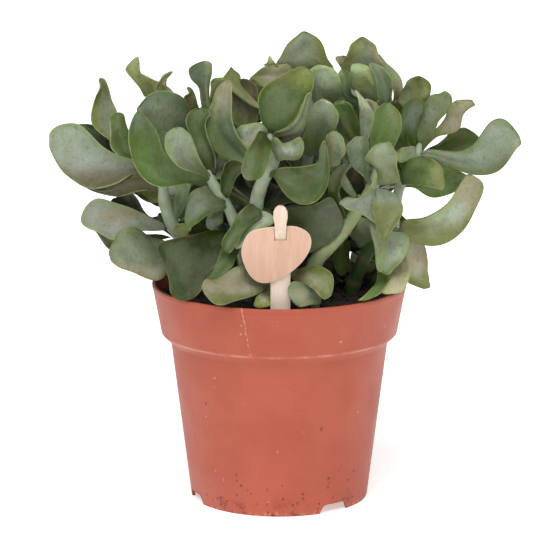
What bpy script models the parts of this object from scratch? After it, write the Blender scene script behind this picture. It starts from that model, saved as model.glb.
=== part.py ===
# Potted silver jade plant in a nursery pot, with a wooden label stick.
# Sizes are millimetres in this file and become metres when a mesh is made.
# The pot stands on z = 0 with its axis on the z axis, and the label faces -y.
import math
import random

import bmesh
import bpy
from mathutils import Matrix, Vector
from mathutils.bvhtree import BVHTree

METRE = 0.001

# Driving sizes of the pot.
RIM_RADIUS = 60.0
POT_HEIGHT = 103.3
WALL = 1.5
GAP = 0.35

# Pot sizes that follow from them.
BASE_RADIUS = RIM_RADIUS * 0.698
BAND_FOOT_RADIUS = RIM_RADIUS * 0.928
LEDGE_RADIUS = RIM_RADIUS * 0.855
BAND_FOOT_Z = POT_HEIGHT * 0.770
LEDGE_Z = POT_HEIGHT * 0.731
FLOOR_TOP = 5.9
NOTCH_HEIGHT = 4.2
NOTCH_WIDTH = 17.6
NOTCH_ANGLES = (38.0, -70.0, 164.0)
DRAIN_RADIUS = 3.5
DRAIN_RING = 24.0
POT_SEGMENTS = 56
LIP = 0.4

# Soil.
SOIL_TOP = POT_HEIGHT - 6.8
SOIL_SEGMENTS = 32
SOIL_RINGS = (0.36, 0.72)
HOLE_SIDES = 12
SOIL_BUMP = 0.7
SOIL_SEED = 5
STEM_DEPTH = 14.0

# Label stick and plate.
STICK_X = 0.5
PLATE_Y = -50.0
STICK_THICK = 1.6
PLATE_THICK = 1.5
STICK_STEP = STICK_THICK / 2 + PLATE_THICK / 2 + GAP
SLIT_Z = 136.0
STICK_TOP = 150.2
STICK_TIP = 72.0
STICK_HALF = 4.6
NECK_HALF = 2.6
SLIT_HALF_WIDTH = NECK_HALF + GAP + 0.1
SLIT_HALF_HEIGHT = 3.0

# Front-view sheet: leaf and stem positions are given as sheet u, v and depth y.
SHEET_FOCUS = 3300.0
SHEET_MIDDLE = 277.0
SHEET_DISTANCE = 1556.5
SHEET_TILT = math.radians(12.49)
SHEET_AIM = Vector((-1.08, 0.0, 105.32))
TO_VIEWER = Vector((0.0, -math.cos(SHEET_TILT), math.sin(SHEET_TILT)))
SHEET_UP = Vector((0.0, math.sin(SHEET_TILT), math.cos(SHEET_TILT)))
SHEET_RIGHT = Vector((1.0, 0.0, 0.0))
VIEW_POINT = SHEET_AIM + TO_VIEWER * SHEET_DISTANCE

# Leaf section and station spacing.
DRAWN_STATIONS = (0.0, 0.15, 0.33, 0.51, 0.68, 0.83, 0.945)
ADDED_STATIONS = (0.0, 0.22, 0.48, 0.72, 0.92)
RING_STEPS = (0.2, 0.4, 0.6, 0.8, 0.95, 1.0)
LEAF_THICK = 2.2
LEAF_ROOT_WIDTH = 3.2
ROOT_SINK = 0.45
ROOT_SPREAD = 0.14
INNER_HALF = 0.45
CLEARANCE = 0.35
WELDS = (0.012, 0.008, 0.005, 0.003, 0.002, 0.0012)
STEM_SIDES = 8
WIDEST_AT = 0.6
WAVE_TURN = 7.5
WAVE_LAG = 1.3
DRAWN_WAVE = 0.5
LEAD_STEP = 0.03
TIP_CHORD = 0.93
LEAST_CHORD = 0.5

# Each stem: foot x and y in the soil, foot and top radius, then points (u, v, y).
STEMS = {
    "a": ((-26, -10), 3.3, 2.4,
          [(205, 262, -14), (172, 226, -20), (163, 192, -22), (157, 168, -20), (150, 150, -16)]),
    "b": ((-14, -12), 2.8, 2.0,
          [(244, 262, -22), (236, 226, -26), (226, 203, -28), (211, 180, -30),
           (204, 160, -24), (200, 142, -18)]),
    "c": ((-5, -22), 3.9, 2.2,
          [(262, 260, -26), (257, 215, -28), (257, 198, -30), (266, 174, -32),
           (276, 158, -28), (269, 136, -24), (267, 116, -16)]),
    "d": ((15, -24), 3.8, 2.2,
          [(313, 265, -30), (333, 243, -32), (350, 222, -32), (372, 188, -32),
           (380, 165, -26), (384, 142, -18)]),
    "e": ((34, 4), 3.8, 2.1,
          [(355, 280, 3), (365, 256, 1), (382, 238, -4), (398, 230, -10)]),
    "f": ((44, 16), 2.8, 1.9,
          [(390, 250, 12), (394, 222, 7), (397, 198, 2), (401, 183, 0), (410, 168, -3),
           (419, 150, -4), (424, 136, 0)]),
    "g": ((2, 14), 3.0, 2.0,
          [(290, 240, 13), (299, 200, 11), (307, 165, 8), (312, 130, 8), (314, 105, 9),
           (316, 86, 10)]),
    "h": ((22, 20), 2.8, 2.0,
          [(345, 230, 18), (356, 190, 14), (362, 150, 11), (366, 120, 8), (368, 96, 8)]),
    "i": ((-20, 16), 2.8, 2.0,
          [(224, 240, 12), (213, 200, 8), (201, 165, 5), (193, 132, 4), (197, 106, 5)]),
    "j": ((-16, 36), 2.8, 2.0,
          [(232, 238, 40), (222, 198, 44), (214, 160, 44), (214, 126, 40)]),
    "k": ((16, 38), 2.8, 2.0,
          [(318, 235, 42), (334, 195, 46), (346, 158, 46), (350, 122, 40)]),
}

# Each leaf in front: stem, place on it, depth at the middle and at the tip, lean of the right
# margin to the back, bulge to the viewer, then the sheet points (u, v, u, v ...) of the left
# margin, those of the right margin, and the tip. The sheet is looked at from the front.
FRONT_LEAVES = [
    ("a", 3.1, -20, 4, -9, -3,
     (137, 162, 119, 160, 104, 151, 91, 137, 78, 125.5, 64, 126, 53, 132.5),
     (138, 171, 122, 181, 104, 187, 88, 187.5, 71, 177, 60, 166, 51, 151), (49, 141)),
    ("a", 4, -12, -8, 5, 2,
     (112, 142, 93, 128, 90, 113, 94, 99, 100.5, 88, 97.5, 81),
     (122, 142, 117, 128, 115.5, 113, 109.5, 101, 106.5, 88, 104.5, 80), (100.5, 78)),
    ("a", 4.3, -12, -6, 4, -1.5,
     (135, 158, 120, 146, 111, 133, 104, 127, 92, 124.5),
     (134, 161, 117, 157, 101, 149, 91, 138, 81, 127), (82, 124.5)),
    ("a", 3.8, -34, -30, 5, 1.5,
     (137, 161, 120, 155.5, 110.5, 145, 108.8, 132, 110.5, 119),
     (140, 160, 135, 150, 130.5, 136, 125.5, 124, 122.5, 115.5), (116, 113)),
    ("a", 2.1, -32, -30, -7, -1,
     (153, 221, 138, 216.5, 123, 209.5, 108, 202.5, 96, 202, 86, 207.5),
     (153, 231, 138, 230, 124, 231, 112, 237, 97, 230, 86, 224), (81, 218.5)),
    ("a", 1.9, -26, -20, 3, 0.5,
     (128, 237, 117, 237, 108, 233, 99, 229.5),
     (126, 246, 117, 248, 110.5, 248.5, 101, 238.5), (93, 227.5)),
    ("a", 1.4, -40, -40, -8, 1.5,
     (152, 238, 141, 233, 130, 229, 120, 231, 114, 240, 110, 249),
     (163, 258, 167, 271, 160, 280, 145, 277.5, 130, 271.5, 116, 266), (110, 257)),
    ("a", 2.1, -16, -10, 4, -1,
     (150, 218, 144, 208, 139, 197, 131, 191, 122, 193),
     (147, 219.5, 134, 215.5, 122, 210, 113, 204.5, 112.5, 201), (116, 198)),
    ("a", 3, -16, -14, -2, 0,
     (156, 194, 147, 191, 140, 191),
     (158, 203, 150, 202.5, 142, 199), (136, 193)),
    ("a", 2, -28, -34, -2, 0.5,
     (176, 227, 182, 223.5, 187, 225),
     (176, 234, 183, 235, 188, 232.5), (191, 229)),
    ("b", 4, -42, -38, 8, -2.5,
     (200, 182.5, 181, 182.5, 162, 187, 146, 181.5, 136, 166, 131, 148, 129, 130),
     (205, 178, 188, 173, 170, 162, 161, 150, 157, 137, 151, 126, 144, 117), (137, 111.5)),
    ("b", 4.1, -48, -48, 5, -1.5,
     (203, 175, 188, 170.5, 175, 165, 167, 154, 165, 143, 166.5, 133),
     (207, 172, 199, 162, 193.5, 151, 192, 141, 190, 134, 184, 129), (175, 127.5)),
    ("b", 4.4, -32, -26, -5, -3,
     (207, 171, 200, 157, 194.5, 142, 189, 129, 187, 121, 190, 113),
     (216, 171, 217, 157, 211, 142, 206, 129, 207, 120, 210, 113), (200, 108)),
    ("b", 3, -42, -44, -5, 1.5,
     (224, 200, 217, 197, 210, 190.5, 202, 187, 193, 190, 188, 199),
     (224, 210, 215, 211.5, 204, 216.5, 196, 222.5, 190, 229.5, 186, 228), (185, 214)),
    ("b", 3.2, -36, -34, 5, -1,
     (221, 186, 220, 174, 223, 163, 231, 160),
     (228, 196, 233, 184, 238, 175, 243, 168), (241, 163)),
    ("b", 1.7, -44, -45, 5, -3,
     (221, 229, 200, 232, 180, 237.5, 158, 245, 162, 261, 168, 278, 170, 292),
     (228, 240, 223, 256, 213, 269, 204, 280, 202.5, 288, 197, 295, 189, 299.5), (179, 300)),
    ("b", 1.5, -44, -48, -4, -1,
     (236, 232, 224, 247, 217, 262, 210, 274),
     (240, 245, 236, 258, 230, 270, 222, 277), (208, 280)),
    ("c", 4, -36, -28, -6, -2.5,
     (246, 167, 228, 158.5, 213, 148, 205, 131, 207, 114, 213.5, 100, 219, 88),
     (252, 158, 248, 150, 239, 139, 234, 125, 231, 110, 231.5, 96, 232, 85), (228, 80)),
    ("c", 6, -30, -26, -3, 0.5,
     (263, 122.5, 254, 123, 245, 125.5, 236, 129),
     (262, 134, 252, 148, 242, 146.5, 233, 139), (228.5, 133.5)),
    ("c", 6, -48, -58, 4, -2,
     (258, 131, 252, 140, 247.5, 151, 244, 161, 241, 170),
     (270, 141, 269.5, 152, 268, 163, 263, 173, 256, 179.5), (247, 180)),
    ("c", 6.3, -34, -28, -6, -4,
     (266, 131, 261.5, 120, 259, 107, 257.5, 95, 266, 85, 282, 75.5, 297, 68.5),
     (276, 132.5, 286, 128, 295, 119, 301, 108, 306, 97, 313, 90, 313.5, 78), (308, 69)),
    ("c", 6, -40, -38, 4, 1,
     (276, 132, 286, 128, 296, 119, 302, 106, 306, 96),
     (279, 136.5, 291, 135, 301, 131, 306.5, 119, 310, 105), (311.5, 93)),
    ("c", 5, -42, -44, -3, 1,
     (271, 142, 274, 138, 281, 144, 290, 142, 297.5, 137.5),
     (279, 161, 286, 159, 294, 160, 300.5, 156, 304, 148), (302.5, 140)),
    ("c", 4, -52, -58, -5, -3,
     (275, 171, 288, 169, 302, 167.5, 313, 166, 319, 159, 320.5, 149),
     (275, 178, 284, 192, 299, 203, 316, 203, 327, 190, 329.5, 168), (325, 141)),
    ("c", 2.7, -38, -36, 3, -2,
     (275, 212, 295, 206, 315, 204, 330, 197, 337, 206),
     (285, 248, 300, 255, 315, 250, 326, 245, 338, 236), (343.5, 221)),
    ("c", 2.6, -44, -46, -4, 1.5,
     (250, 204, 240, 213, 231, 226, 223.5, 239, 222.5, 248),
     (262, 216, 253, 222, 245, 232, 240, 240, 233, 249), (227, 253)),
    ("c", 2.4, -44, -48, -3, 0.5,
     (262, 216.5, 252, 222.5, 244, 232, 238, 242),
     (276, 220, 262, 229, 251, 236, 243, 246), (236, 249)),
    ("c", 6.8, -8, -4, -5, -3,
     (240, 128, 232.5, 117, 231, 105, 231.5, 92, 234, 83),
     (256, 124, 258.5, 112, 257, 100, 258, 90, 253, 82), (244, 78.5)),
    ("c", 7, 0, 2, 3, 1,
     (228, 88, 222, 79.5, 226, 74, 229.5, 69.5),
     (242, 88, 239.5, 79, 236.5, 73.5, 234, 70), (231.5, 67.5)),
    ("c", 1, -50, -61, -6, 1.5,
     (250, 268, 238, 267.5, 226, 275, 214, 280, 206, 280.5),
     (266, 288, 256, 295, 240, 299.5, 226, 304, 213, 303), (202, 288)),
    ("c", 0.8, -44, -50, 3, 0.5,
     (264, 288, 258, 295, 254.5, 303),
     (272, 292, 272, 299, 270, 306), (258, 308)),
    ("c", 1.1, -46, -54, -5, 1.5,
     (293, 270, 306, 266, 320, 266.5, 330, 273, 334, 283),
     (292, 279, 303, 282, 312, 287.5, 318, 294, 325, 300), (331, 295)),
    ("d", 0.8, -48, -52, -4, 1,
     (306, 284, 298, 281, 291, 280.5),
     (322, 303, 312, 308, 298, 309), (288, 293)),
    ("d", 4, -46, -48, -4, 1.5,
     (374, 190.5, 362, 196, 352, 199, 344, 199),
     (380, 224, 366, 216, 355, 212, 346, 209), (339.5, 204)),
    ("d", 4, -46, -54, 6, 1.5,
     (374, 200, 372, 214, 375, 226, 379, 234),
     (394, 193, 401.5, 204, 401.5, 216, 393, 229), (382, 240)),
    ("d", 3.8, -44, -42, 0, 0.5,
     (369, 216, 371, 232, 375.5, 248, 376.5, 262),
     (383, 220, 386, 238, 387, 252, 384, 264), (379.5, 272)),
    ("d", 2.9, -42, -42, -4, -1,
     (331, 199, 328.5, 188, 331, 176, 338, 168),
     (339, 197, 341, 186, 345, 175, 349, 168), (350, 162)),
    ("d", 3.5, -46, -48, -4, 2,
     (329, 168, 324.5, 158, 324, 147, 326.5, 137),
     (340, 163, 344, 155, 345.5, 146, 343, 138), (334.5, 131)),
    ("d", 4, -42, -42, 4, 1.5,
     (364, 177, 353, 168, 347, 156, 346.5, 146, 352, 139.5),
     (369, 174, 366.5, 163, 367, 152, 368, 143, 366, 137), (360, 136.5)),
    ("d", 4.3, -46, -46, -3, 2,
     (378, 177, 374, 168, 366, 160, 370, 149.5, 377, 145),
     (394, 183, 400, 176, 399, 165, 397, 154, 391, 145), (384, 143)),
    ("d", 5.6, -30, -28, 5, -2,
     (371, 150, 368, 140, 370, 127, 374, 115, 379, 107),
     (393, 150, 397, 138, 400, 126, 400, 115, 396, 107.5), (388, 103)),
    ("e", 3.9, -34, -36, 5, 1.5,
     (388, 233, 380, 243, 378, 256, 379, 268),
     (407, 238, 406, 250, 399, 264, 391, 270.5), (384, 274.5)),
    ("e", 3.4, -28, -28, 3, 0.5,
     (391, 270, 389, 281, 384, 290),
     (405, 262, 406, 276, 402, 288), (391, 293.5)),
    ("e", 3, -34, -44, 3, 0.5,
     (380, 276, 375, 287, 367, 295),
     (391, 271, 386, 284, 377, 294.5), (361, 300.5)),
    ("e", 3.8, -10, -14, 5, -1,
     (407, 240, 405.5, 252, 404.5, 265, 406, 277, 414, 284.5),
     (416, 240, 422, 248, 425.5, 260, 425.5, 272, 427, 281), (427, 288.5)),
    ("e", 4, -16, -18, 4, -2,
     (405, 220, 420, 219, 436, 212.5, 450, 201, 459, 189, 467, 176.5),
     (407, 237, 425, 243, 447, 241.5, 464, 227, 474, 205, 483, 187), (477, 177.5)),
    ("f", 4, -26, -30, -4, 2,
     (402, 172, 409, 160, 420, 155.5, 431, 158.5, 439, 164),
     (404, 184.5, 415, 184, 426, 185.5, 436, 188, 443, 189.5), (443.5, 176)),
    ("f", 3.9, -8, -6, 4, -2,
     (420, 178, 436, 166, 448, 165, 458, 170),
     (415, 188, 426, 193.5, 440, 195.5, 456, 190), (467, 177)),
    ("f", 6, -24, -30, -6, -3,
     (430, 150.5, 445, 152, 460, 152, 474, 147, 483, 135, 492, 123, 506, 121),
     (432, 157, 447, 164, 462, 171.5, 478, 176.5, 495, 172, 507, 161, 516, 147), (520.5, 139)),
    ("f", 5.8, -6, -4, 3, -1.5,
     (436, 146, 444, 140, 450, 132, 460, 127, 470, 130),
     (438, 149, 447, 150.5, 457, 151.5, 468, 149.5, 476, 145), (480, 139)),
    ("f", 6, -12, -14, -3, 0.5,
     (428, 137, 437, 130, 445, 121, 449, 110, 456, 103, 465, 101.5),
     (428, 143, 437, 136, 449, 133, 459, 128, 462, 115, 468, 107), (474, 102.5)),
    ("f", 6.2, -6, -6, -4, 1,
     (418, 133, 422, 118, 427, 106, 433, 96.5, 441, 95),
     (428, 140, 434, 130, 438, 120, 446, 110, 450.5, 101), (447.5, 92)),
    ("f", 7, 4, 4, -4, 2,
     (404, 108, 399, 100, 403, 90, 406, 81.5),
     (424, 108, 429, 100, 431.5, 92, 428, 82), (417, 76)),
    ("f", 6.5, -8, -10, 5, -2.5,
     (403, 146, 400, 132, 401, 118, 404, 106),
     (415, 144, 418, 131, 421, 118, 424, 106), (415, 98)),
    ("f", 5.4, -16, -18, -2, 0.5,
     (414, 147.5, 407, 147, 401, 149),
     (410, 156, 405, 161, 400, 162), (396, 154)),
    ("g", 3.2, -22, -24, 5, -2.5,
     (302, 148, 303, 134, 307, 120, 311, 107, 318, 100.5),
     (317, 146.5, 327, 139, 334, 128, 338.5, 116, 335, 106.5), (327, 100.5)),
    ("g", 5, -4, -6, -4, 2,
     (312, 98, 308.5, 86, 309, 75, 315, 67.5),
     (337, 101, 340.5, 91, 339.5, 80, 334, 70.5), (325, 65.5)),
    ("g", 5.5, 6, 8, 4, 1,
     (285, 92, 270, 90, 258, 86, 252, 81.5),
     (292, 66, 278, 66, 267, 67, 258, 73), (250, 78.5)),
    ("g", 5.3, 8, 6, -5, 3,
     (286, 75, 277, 65, 280, 55, 288, 45, 295, 37),
     (334, 73, 329, 63, 325.5, 54, 322, 43, 314, 35), (303, 31.5)),
    ("h", 5, 4, 2, -5, 2.5,
     (343, 80, 341.5, 68, 347, 55, 351, 45, 356, 40),
     (388, 80, 384, 66, 380, 55, 377, 47, 371, 40.5), (363, 37)),
    ("h", 4.9, 8, 8, 0, 0.5,
     (350, 76, 342, 68, 338, 62),
     (356, 66, 348, 57, 341, 56), (335.5, 57.5)),
    ("h", 4.9, 6, 6, 5, 1,
     (391, 104, 392, 92, 388, 78, 382, 66, 377, 57),
     (401, 103, 403, 92, 401, 79, 393, 69, 386, 62), (379, 54)),
    ("h", 4.8, -14, -12, 4, -2,
     (379, 104, 377, 93, 376, 82, 372, 72),
     (389, 104, 392.5, 92, 391, 80, 384, 69), (370, 63.5)),
    ("h", 4.5, -8, -8, -4, 2,
     (357, 92, 351, 83, 350, 73, 353, 66),
     (377, 100, 376, 88, 374, 78, 370, 70), (361, 64)),
    ("h", 4.7, 4, 6, -3, -1,
     (342, 97, 340, 87, 338.5, 77),
     (352, 95, 351.5, 84, 350.5, 75), (342, 69.5)),
    ("h", 3.35, -10, -12, -4, -2.5,
     (349, 138, 340, 125, 338.5, 113, 334.5, 105),
     (361, 135, 358.5, 121, 354, 111, 350, 104), (342, 100.5)),
    ("h", 3.3, -14, -14, 4, 1,
     (361, 136, 359.5, 122, 360, 110, 357, 97),
     (368, 140, 372, 124, 371, 110, 363, 98), (355, 90)),
    ("h", 1.3, 4, 0, 0, -1,
     (351, 238, 353, 228, 357, 220),
     (362, 249, 377, 248, 377, 234), (368, 219)),
    ("i", 3.9, -16, -24, -6, 3,
     (192, 125, 189, 106, 178, 93, 162, 89.5, 148, 95, 140, 104),
     (186, 132, 172, 131.5, 160, 130.5, 150, 126.5, 143, 120, 138, 115), (137, 110)),
    ("i", 4.1, -2, -4, -4, 1,
     (150, 100, 145, 96, 141, 87, 133, 78, 127, 72.5, 126, 66.5),
     (168, 96, 163, 84, 155, 80, 146, 77, 140.5, 72, 139.5, 60), (136.5, 57)),
    ("i", 4.3, -4, -4, 3, 0.5,
     (160, 93, 158.5, 83, 161, 76.5, 167, 73),
     (172, 91, 166.5, 86, 166.5, 79, 169.5, 75), (172.5, 71.5)),
    ("i", 4.6, 0, 0, 2, 0.5,
     (190, 112, 186, 104, 184, 96, 189, 93),
     (197, 110, 196.5, 103, 195, 95, 191.5, 90), (187, 87.5)),
    ("i", 5, 2, 0, -5, 1.5,
     (204, 112, 200.5, 99, 199, 87, 192.5, 79.5, 189, 73, 191, 67),
     (210, 112, 210, 99, 210, 88, 211, 79, 212, 71, 211, 64), (204, 61)),
    ("i", 4.9, -4, -4, 4, 0.5,
     (207, 110, 209, 100, 210, 90, 211, 81),
     (213, 110, 216, 99, 220, 88, 226, 80), (219, 78)),
    ("i", 3, -2, -4, -4, 0,
     (178, 186, 176, 196, 175, 208),
     (192, 186, 189, 198, 182, 212), (176, 220)),
    ("i", 1.6, 2, 0, -3, 0,
     (222, 212, 214, 211, 208, 215),
     (222, 222, 217, 228, 211, 232), (206, 225)),
    ("a", 2.9, -24, -8, 3, 1,
     (150, 180, 137, 172.5, 121, 182.5, 104, 188, 92, 188),
     (152, 190, 136, 190.5, 118, 195, 104, 194.5, 93, 190.5), (84, 185.5)),
    ("g", 5.6, 7, 8, 0, 0,
     (267, 68, 267.5, 64, 268.5, 59),
     (281, 68, 276.5, 63.5, 272, 60), (269.5, 56)),
    ("h", 4.3, -6, -6, 0, 0.5,
     (361, 110, 359, 103, 364, 100),
     (374, 114, 377, 107, 375, 102), (369, 99.5)),
    ("h", 0.9, 14, 8, -4, -1,
     (335, 243, 333, 256, 335, 268),
     (349, 243, 351, 256, 349, 268), (342, 276)),
]

# Outline of the label plate in sheet units.
PLATE_OUTLINE = [(241.4, 254.3), (243.2, 243.5), (248.5, 233.5), (258, 229), (273, 226.8),
                 (286.2, 226.0), (297, 226.8), (306.7, 231.5), (311.2, 239), (309.8, 249.5),
                 (302.5, 261.4), (291.3, 271.9), (278.8, 279.2), (266.4, 283), (255.5, 280.5),
                 (246.8, 270.4)]

# Outline that the added leaves stay inside, in sheet units, and windows they keep clear.
OUTLINE = [
    (60, 145), (72, 130), (95, 128), (97, 108), (104, 100), (112, 118), (122, 120), (131, 134),
    (134, 118), (143, 106), (148, 98), (150, 86), (160, 90), (178, 99), (190, 106), (202, 108),
    (204, 92), (208, 82), (236, 82), (250, 86), (268, 74), (282, 64), (300, 44), (314, 44),
    (322, 60), (334, 76), (346, 76), (352, 54), (362, 44), (372, 54), (384, 72), (400, 86),
    (412, 80), (424, 84), (430, 98), (444, 98), (442, 108), (432, 122), (426, 140), (424, 151),
    (440, 156), (470, 160), (488, 160), (480, 172), (462, 172), (452, 188), (430, 192),
    (402, 184), (396, 196), (400, 214), (398, 232), (404, 262), (402, 280), (394, 288),
    (370, 297), (330, 304), (280, 305), (220, 301), (190, 296), (170, 292), (168, 276),
    (150, 272), (125, 264), (112, 254), (116, 242), (100, 226), (88, 218), (94, 206),
    (112, 204), (120, 196), (136, 192), (108, 190), (90, 184), (76, 176), (62, 162),
]
WINDOWS = [(149, 210, 13), (159, 235, 10), (165, 154, 6), (440, 142, 9), (442, 121, 8)]
DEPTH_STEPS = (0, -3, 3, -6, 6, -9, 9, -12, 12, -16, 16)
FRONT_SEED = 6
BACK_LEAF_SEED = 27
BACK_LEAF_COUNT = 84
BARE_SPAN = (40, 540, 5)
COVER_COUNT = 50
COVER_SPOTS = (2, 10)
COVER_PATIENCE = 60
LOW_PAIRS = 3
LOW_DROOP = -35
HIGH_DROOP = -5
BACK_LENGTH = (31, 45)
BACK_WIDTH_SHARE = (0.44, 0.54)
REACH_Y = 67.0
MOST_TRIES = 6000
FREE_TURN_STEMS = "ghijk"
BACK_STEMS = "jk"

# Colour and roughness of each kind of piece.
POT_LOOK = ((0.58, 0.13, 0.08), 0.45)
SOIL_LOOK = ((0.02, 0.014, 0.01), 0.95)
STICK_LOOK = ((0.83, 0.66, 0.5), 0.6)
PLATE_LOOK = ((0.74, 0.45, 0.29), 0.6)
LEAF_COLOUR = (0.17, 0.26, 0.16)
LEAF_ROUGHNESS = 0.5


def place(u, v, depth):
    """World point in millimetres of a sheet point at a given depth."""
    ray = SHEET_RIGHT * ((u - SHEET_MIDDLE) / SHEET_FOCUS)
    ray = ray - SHEET_UP * ((v - SHEET_MIDDLE) / SHEET_FOCUS) - TO_VIEWER
    return VIEW_POINT + ray * ((depth - VIEW_POINT.y) / ray.y)


def toSheet(point):
    """Sheet u and v of a world point in millimetres."""
    arm = point - VIEW_POINT
    reach = -arm.dot(TO_VIEWER)
    u = SHEET_MIDDLE + SHEET_FOCUS * arm.dot(SHEET_RIGHT) / reach
    return u, SHEET_MIDDLE - SHEET_FOCUS * arm.dot(SHEET_UP) / reach


def inRing(ring, u, v):
    """True where a sheet point is inside a closed ring of sheet points."""
    inside = False
    for (u0, v0), (u1, v1) in zip(ring, ring[1:] + ring[:1]):
        if (v0 > v) != (v1 > v) and u < u0 + (v - v0) * (u1 - u0) / (v1 - v0):
            inside = not inside
    return inside


def insideOutline(u, v):
    for wu, wv, radius in WINDOWS:
        if math.hypot(u - wu, v - wv) < radius:
            return False
    return inRing(OUTLINE, u, v)


def stemPoints(name):
    foot, _, _, points = STEMS[name]
    return [Vector((foot[0], foot[1], SOIL_TOP + 1.5))] + [place(*p) for p in points]


def stemPoint(name, where):
    """Point on the smooth line through a stem's points. Whole numbers are the points."""
    points = stemPoints(name)
    last = len(points) - 1
    where = min(max(where, 0.0), last - 1e-6)
    k = int(where)
    t = where - k
    before = points[k - 1] if k > 0 else points[0] * 2 - points[1] + Vector((0, 0, -4))
    after = points[k + 2] if k + 2 <= last else points[last] * 2 - points[last - 1]
    a = points[k] * 2
    b = points[k + 1] - before
    c = before * 2 - points[k] * 5 + points[k + 1] * 4 - after
    d = points[k] * 3 - before - points[k + 1] * 3 + after
    return (a + b * t + c * (t * t) + d * (t * t * t)) * 0.5


def stemRadius(name, where):
    _, foot, top, points = STEMS[name]
    return foot + (top - foot) * min(1.0, where / len(points))


def widthAt(t):
    """Outline of a spoon-shaped leaf: share of the full width at t along it."""
    if t < WIDEST_AT:
        k = t / WIDEST_AT
        return 0.16 + 0.84 * (k * k * (3 - 2 * k)) ** 0.8
    return math.sqrt(max(0.0, 1 - ((t - WIDEST_AT) / (1 - WIDEST_AT)) ** 2))


class Leaf:
    """Middle surface of a leaf from its root, middle and tip points."""

    stations = ADDED_STATIONS

    def __init__(self, stem, where, middle, tip, width, roll, twist, cup, curl, wave,
                 facing, phase):
        self.stem = stem
        middle_of_stem = stemPoint(stem, where)
        outward = (middle - middle_of_stem).normalized()
        self.root = middle_of_stem + outward * (stemRadius(stem, where) * ROOT_SINK)
        self.arm = middle * 2 - (self.root + tip) * 0.5
        self.tip = tip
        self.width = width
        self.roll = math.radians(roll)
        self.twist = math.radians(twist)
        self.cup = math.radians(cup)
        self.curl = curl
        self.wave = wave
        self.facing = facing
        self.phase = phase

    def frame(self, t):
        centre = self.root * (1 - t) ** 2 + self.arm * (2 * t * (1 - t)) + self.tip * (t * t)
        along = (self.arm - self.root) * (2 * (1 - t)) + (self.tip - self.arm) * (2 * t)
        along.normalize()
        normal = self.facing - along * self.facing.dot(along)
        normal.normalize()
        turn = Matrix.Rotation(self.roll + self.twist * (t - 0.5), 3, along)
        normal = turn @ normal
        side = along.cross(normal)
        centre = centre + normal * (self.curl * max(0.0, (t - 0.55) / 0.45) ** 2 * 3)
        return centre, side, normal

    def point(self, t, s, lift, grow=0.0):
        """Point at t along and s across (-1 to 1), lifted off the middle surface."""
        centre, side, normal = self.frame(t)
        half = max(self.width * widthAt(t), LEAF_ROOT_WIDTH * (1 - t)) / 2 + grow * min(1, t * 5)
        bend = self.cup * s
        if abs(self.cup) > 0.01:
            out = half * math.sin(bend) / self.cup
            rise = half * (1 - math.cos(bend)) / self.cup
        else:
            out = half * s
            rise = 0.0
        lag = WAVE_LAG if s > 0 else 0.0
        ripple = self.wave * s * s * math.sin(WAVE_TURN * t + self.phase + lag)
        rise = rise + ripple * min(1.0, t * 2)
        away = normal * math.cos(bend) - side * math.sin(bend)
        return centre + side * out + normal * rise + away * lift

    def thickness(self, t):
        return LEAF_THICK * (1 - 0.45 * t)

    def hides(self, spots):
        """The sheet points among the spots that this leaf covers."""
        ring = [toSheet(self.point(t, -1, 0)) for t in RING_STEPS]
        ring += [toSheet(self.point(t, 1, 0)) for t in reversed(RING_STEPS)]
        return {spot for spot in spots if inRing(ring, *spot)}


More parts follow.
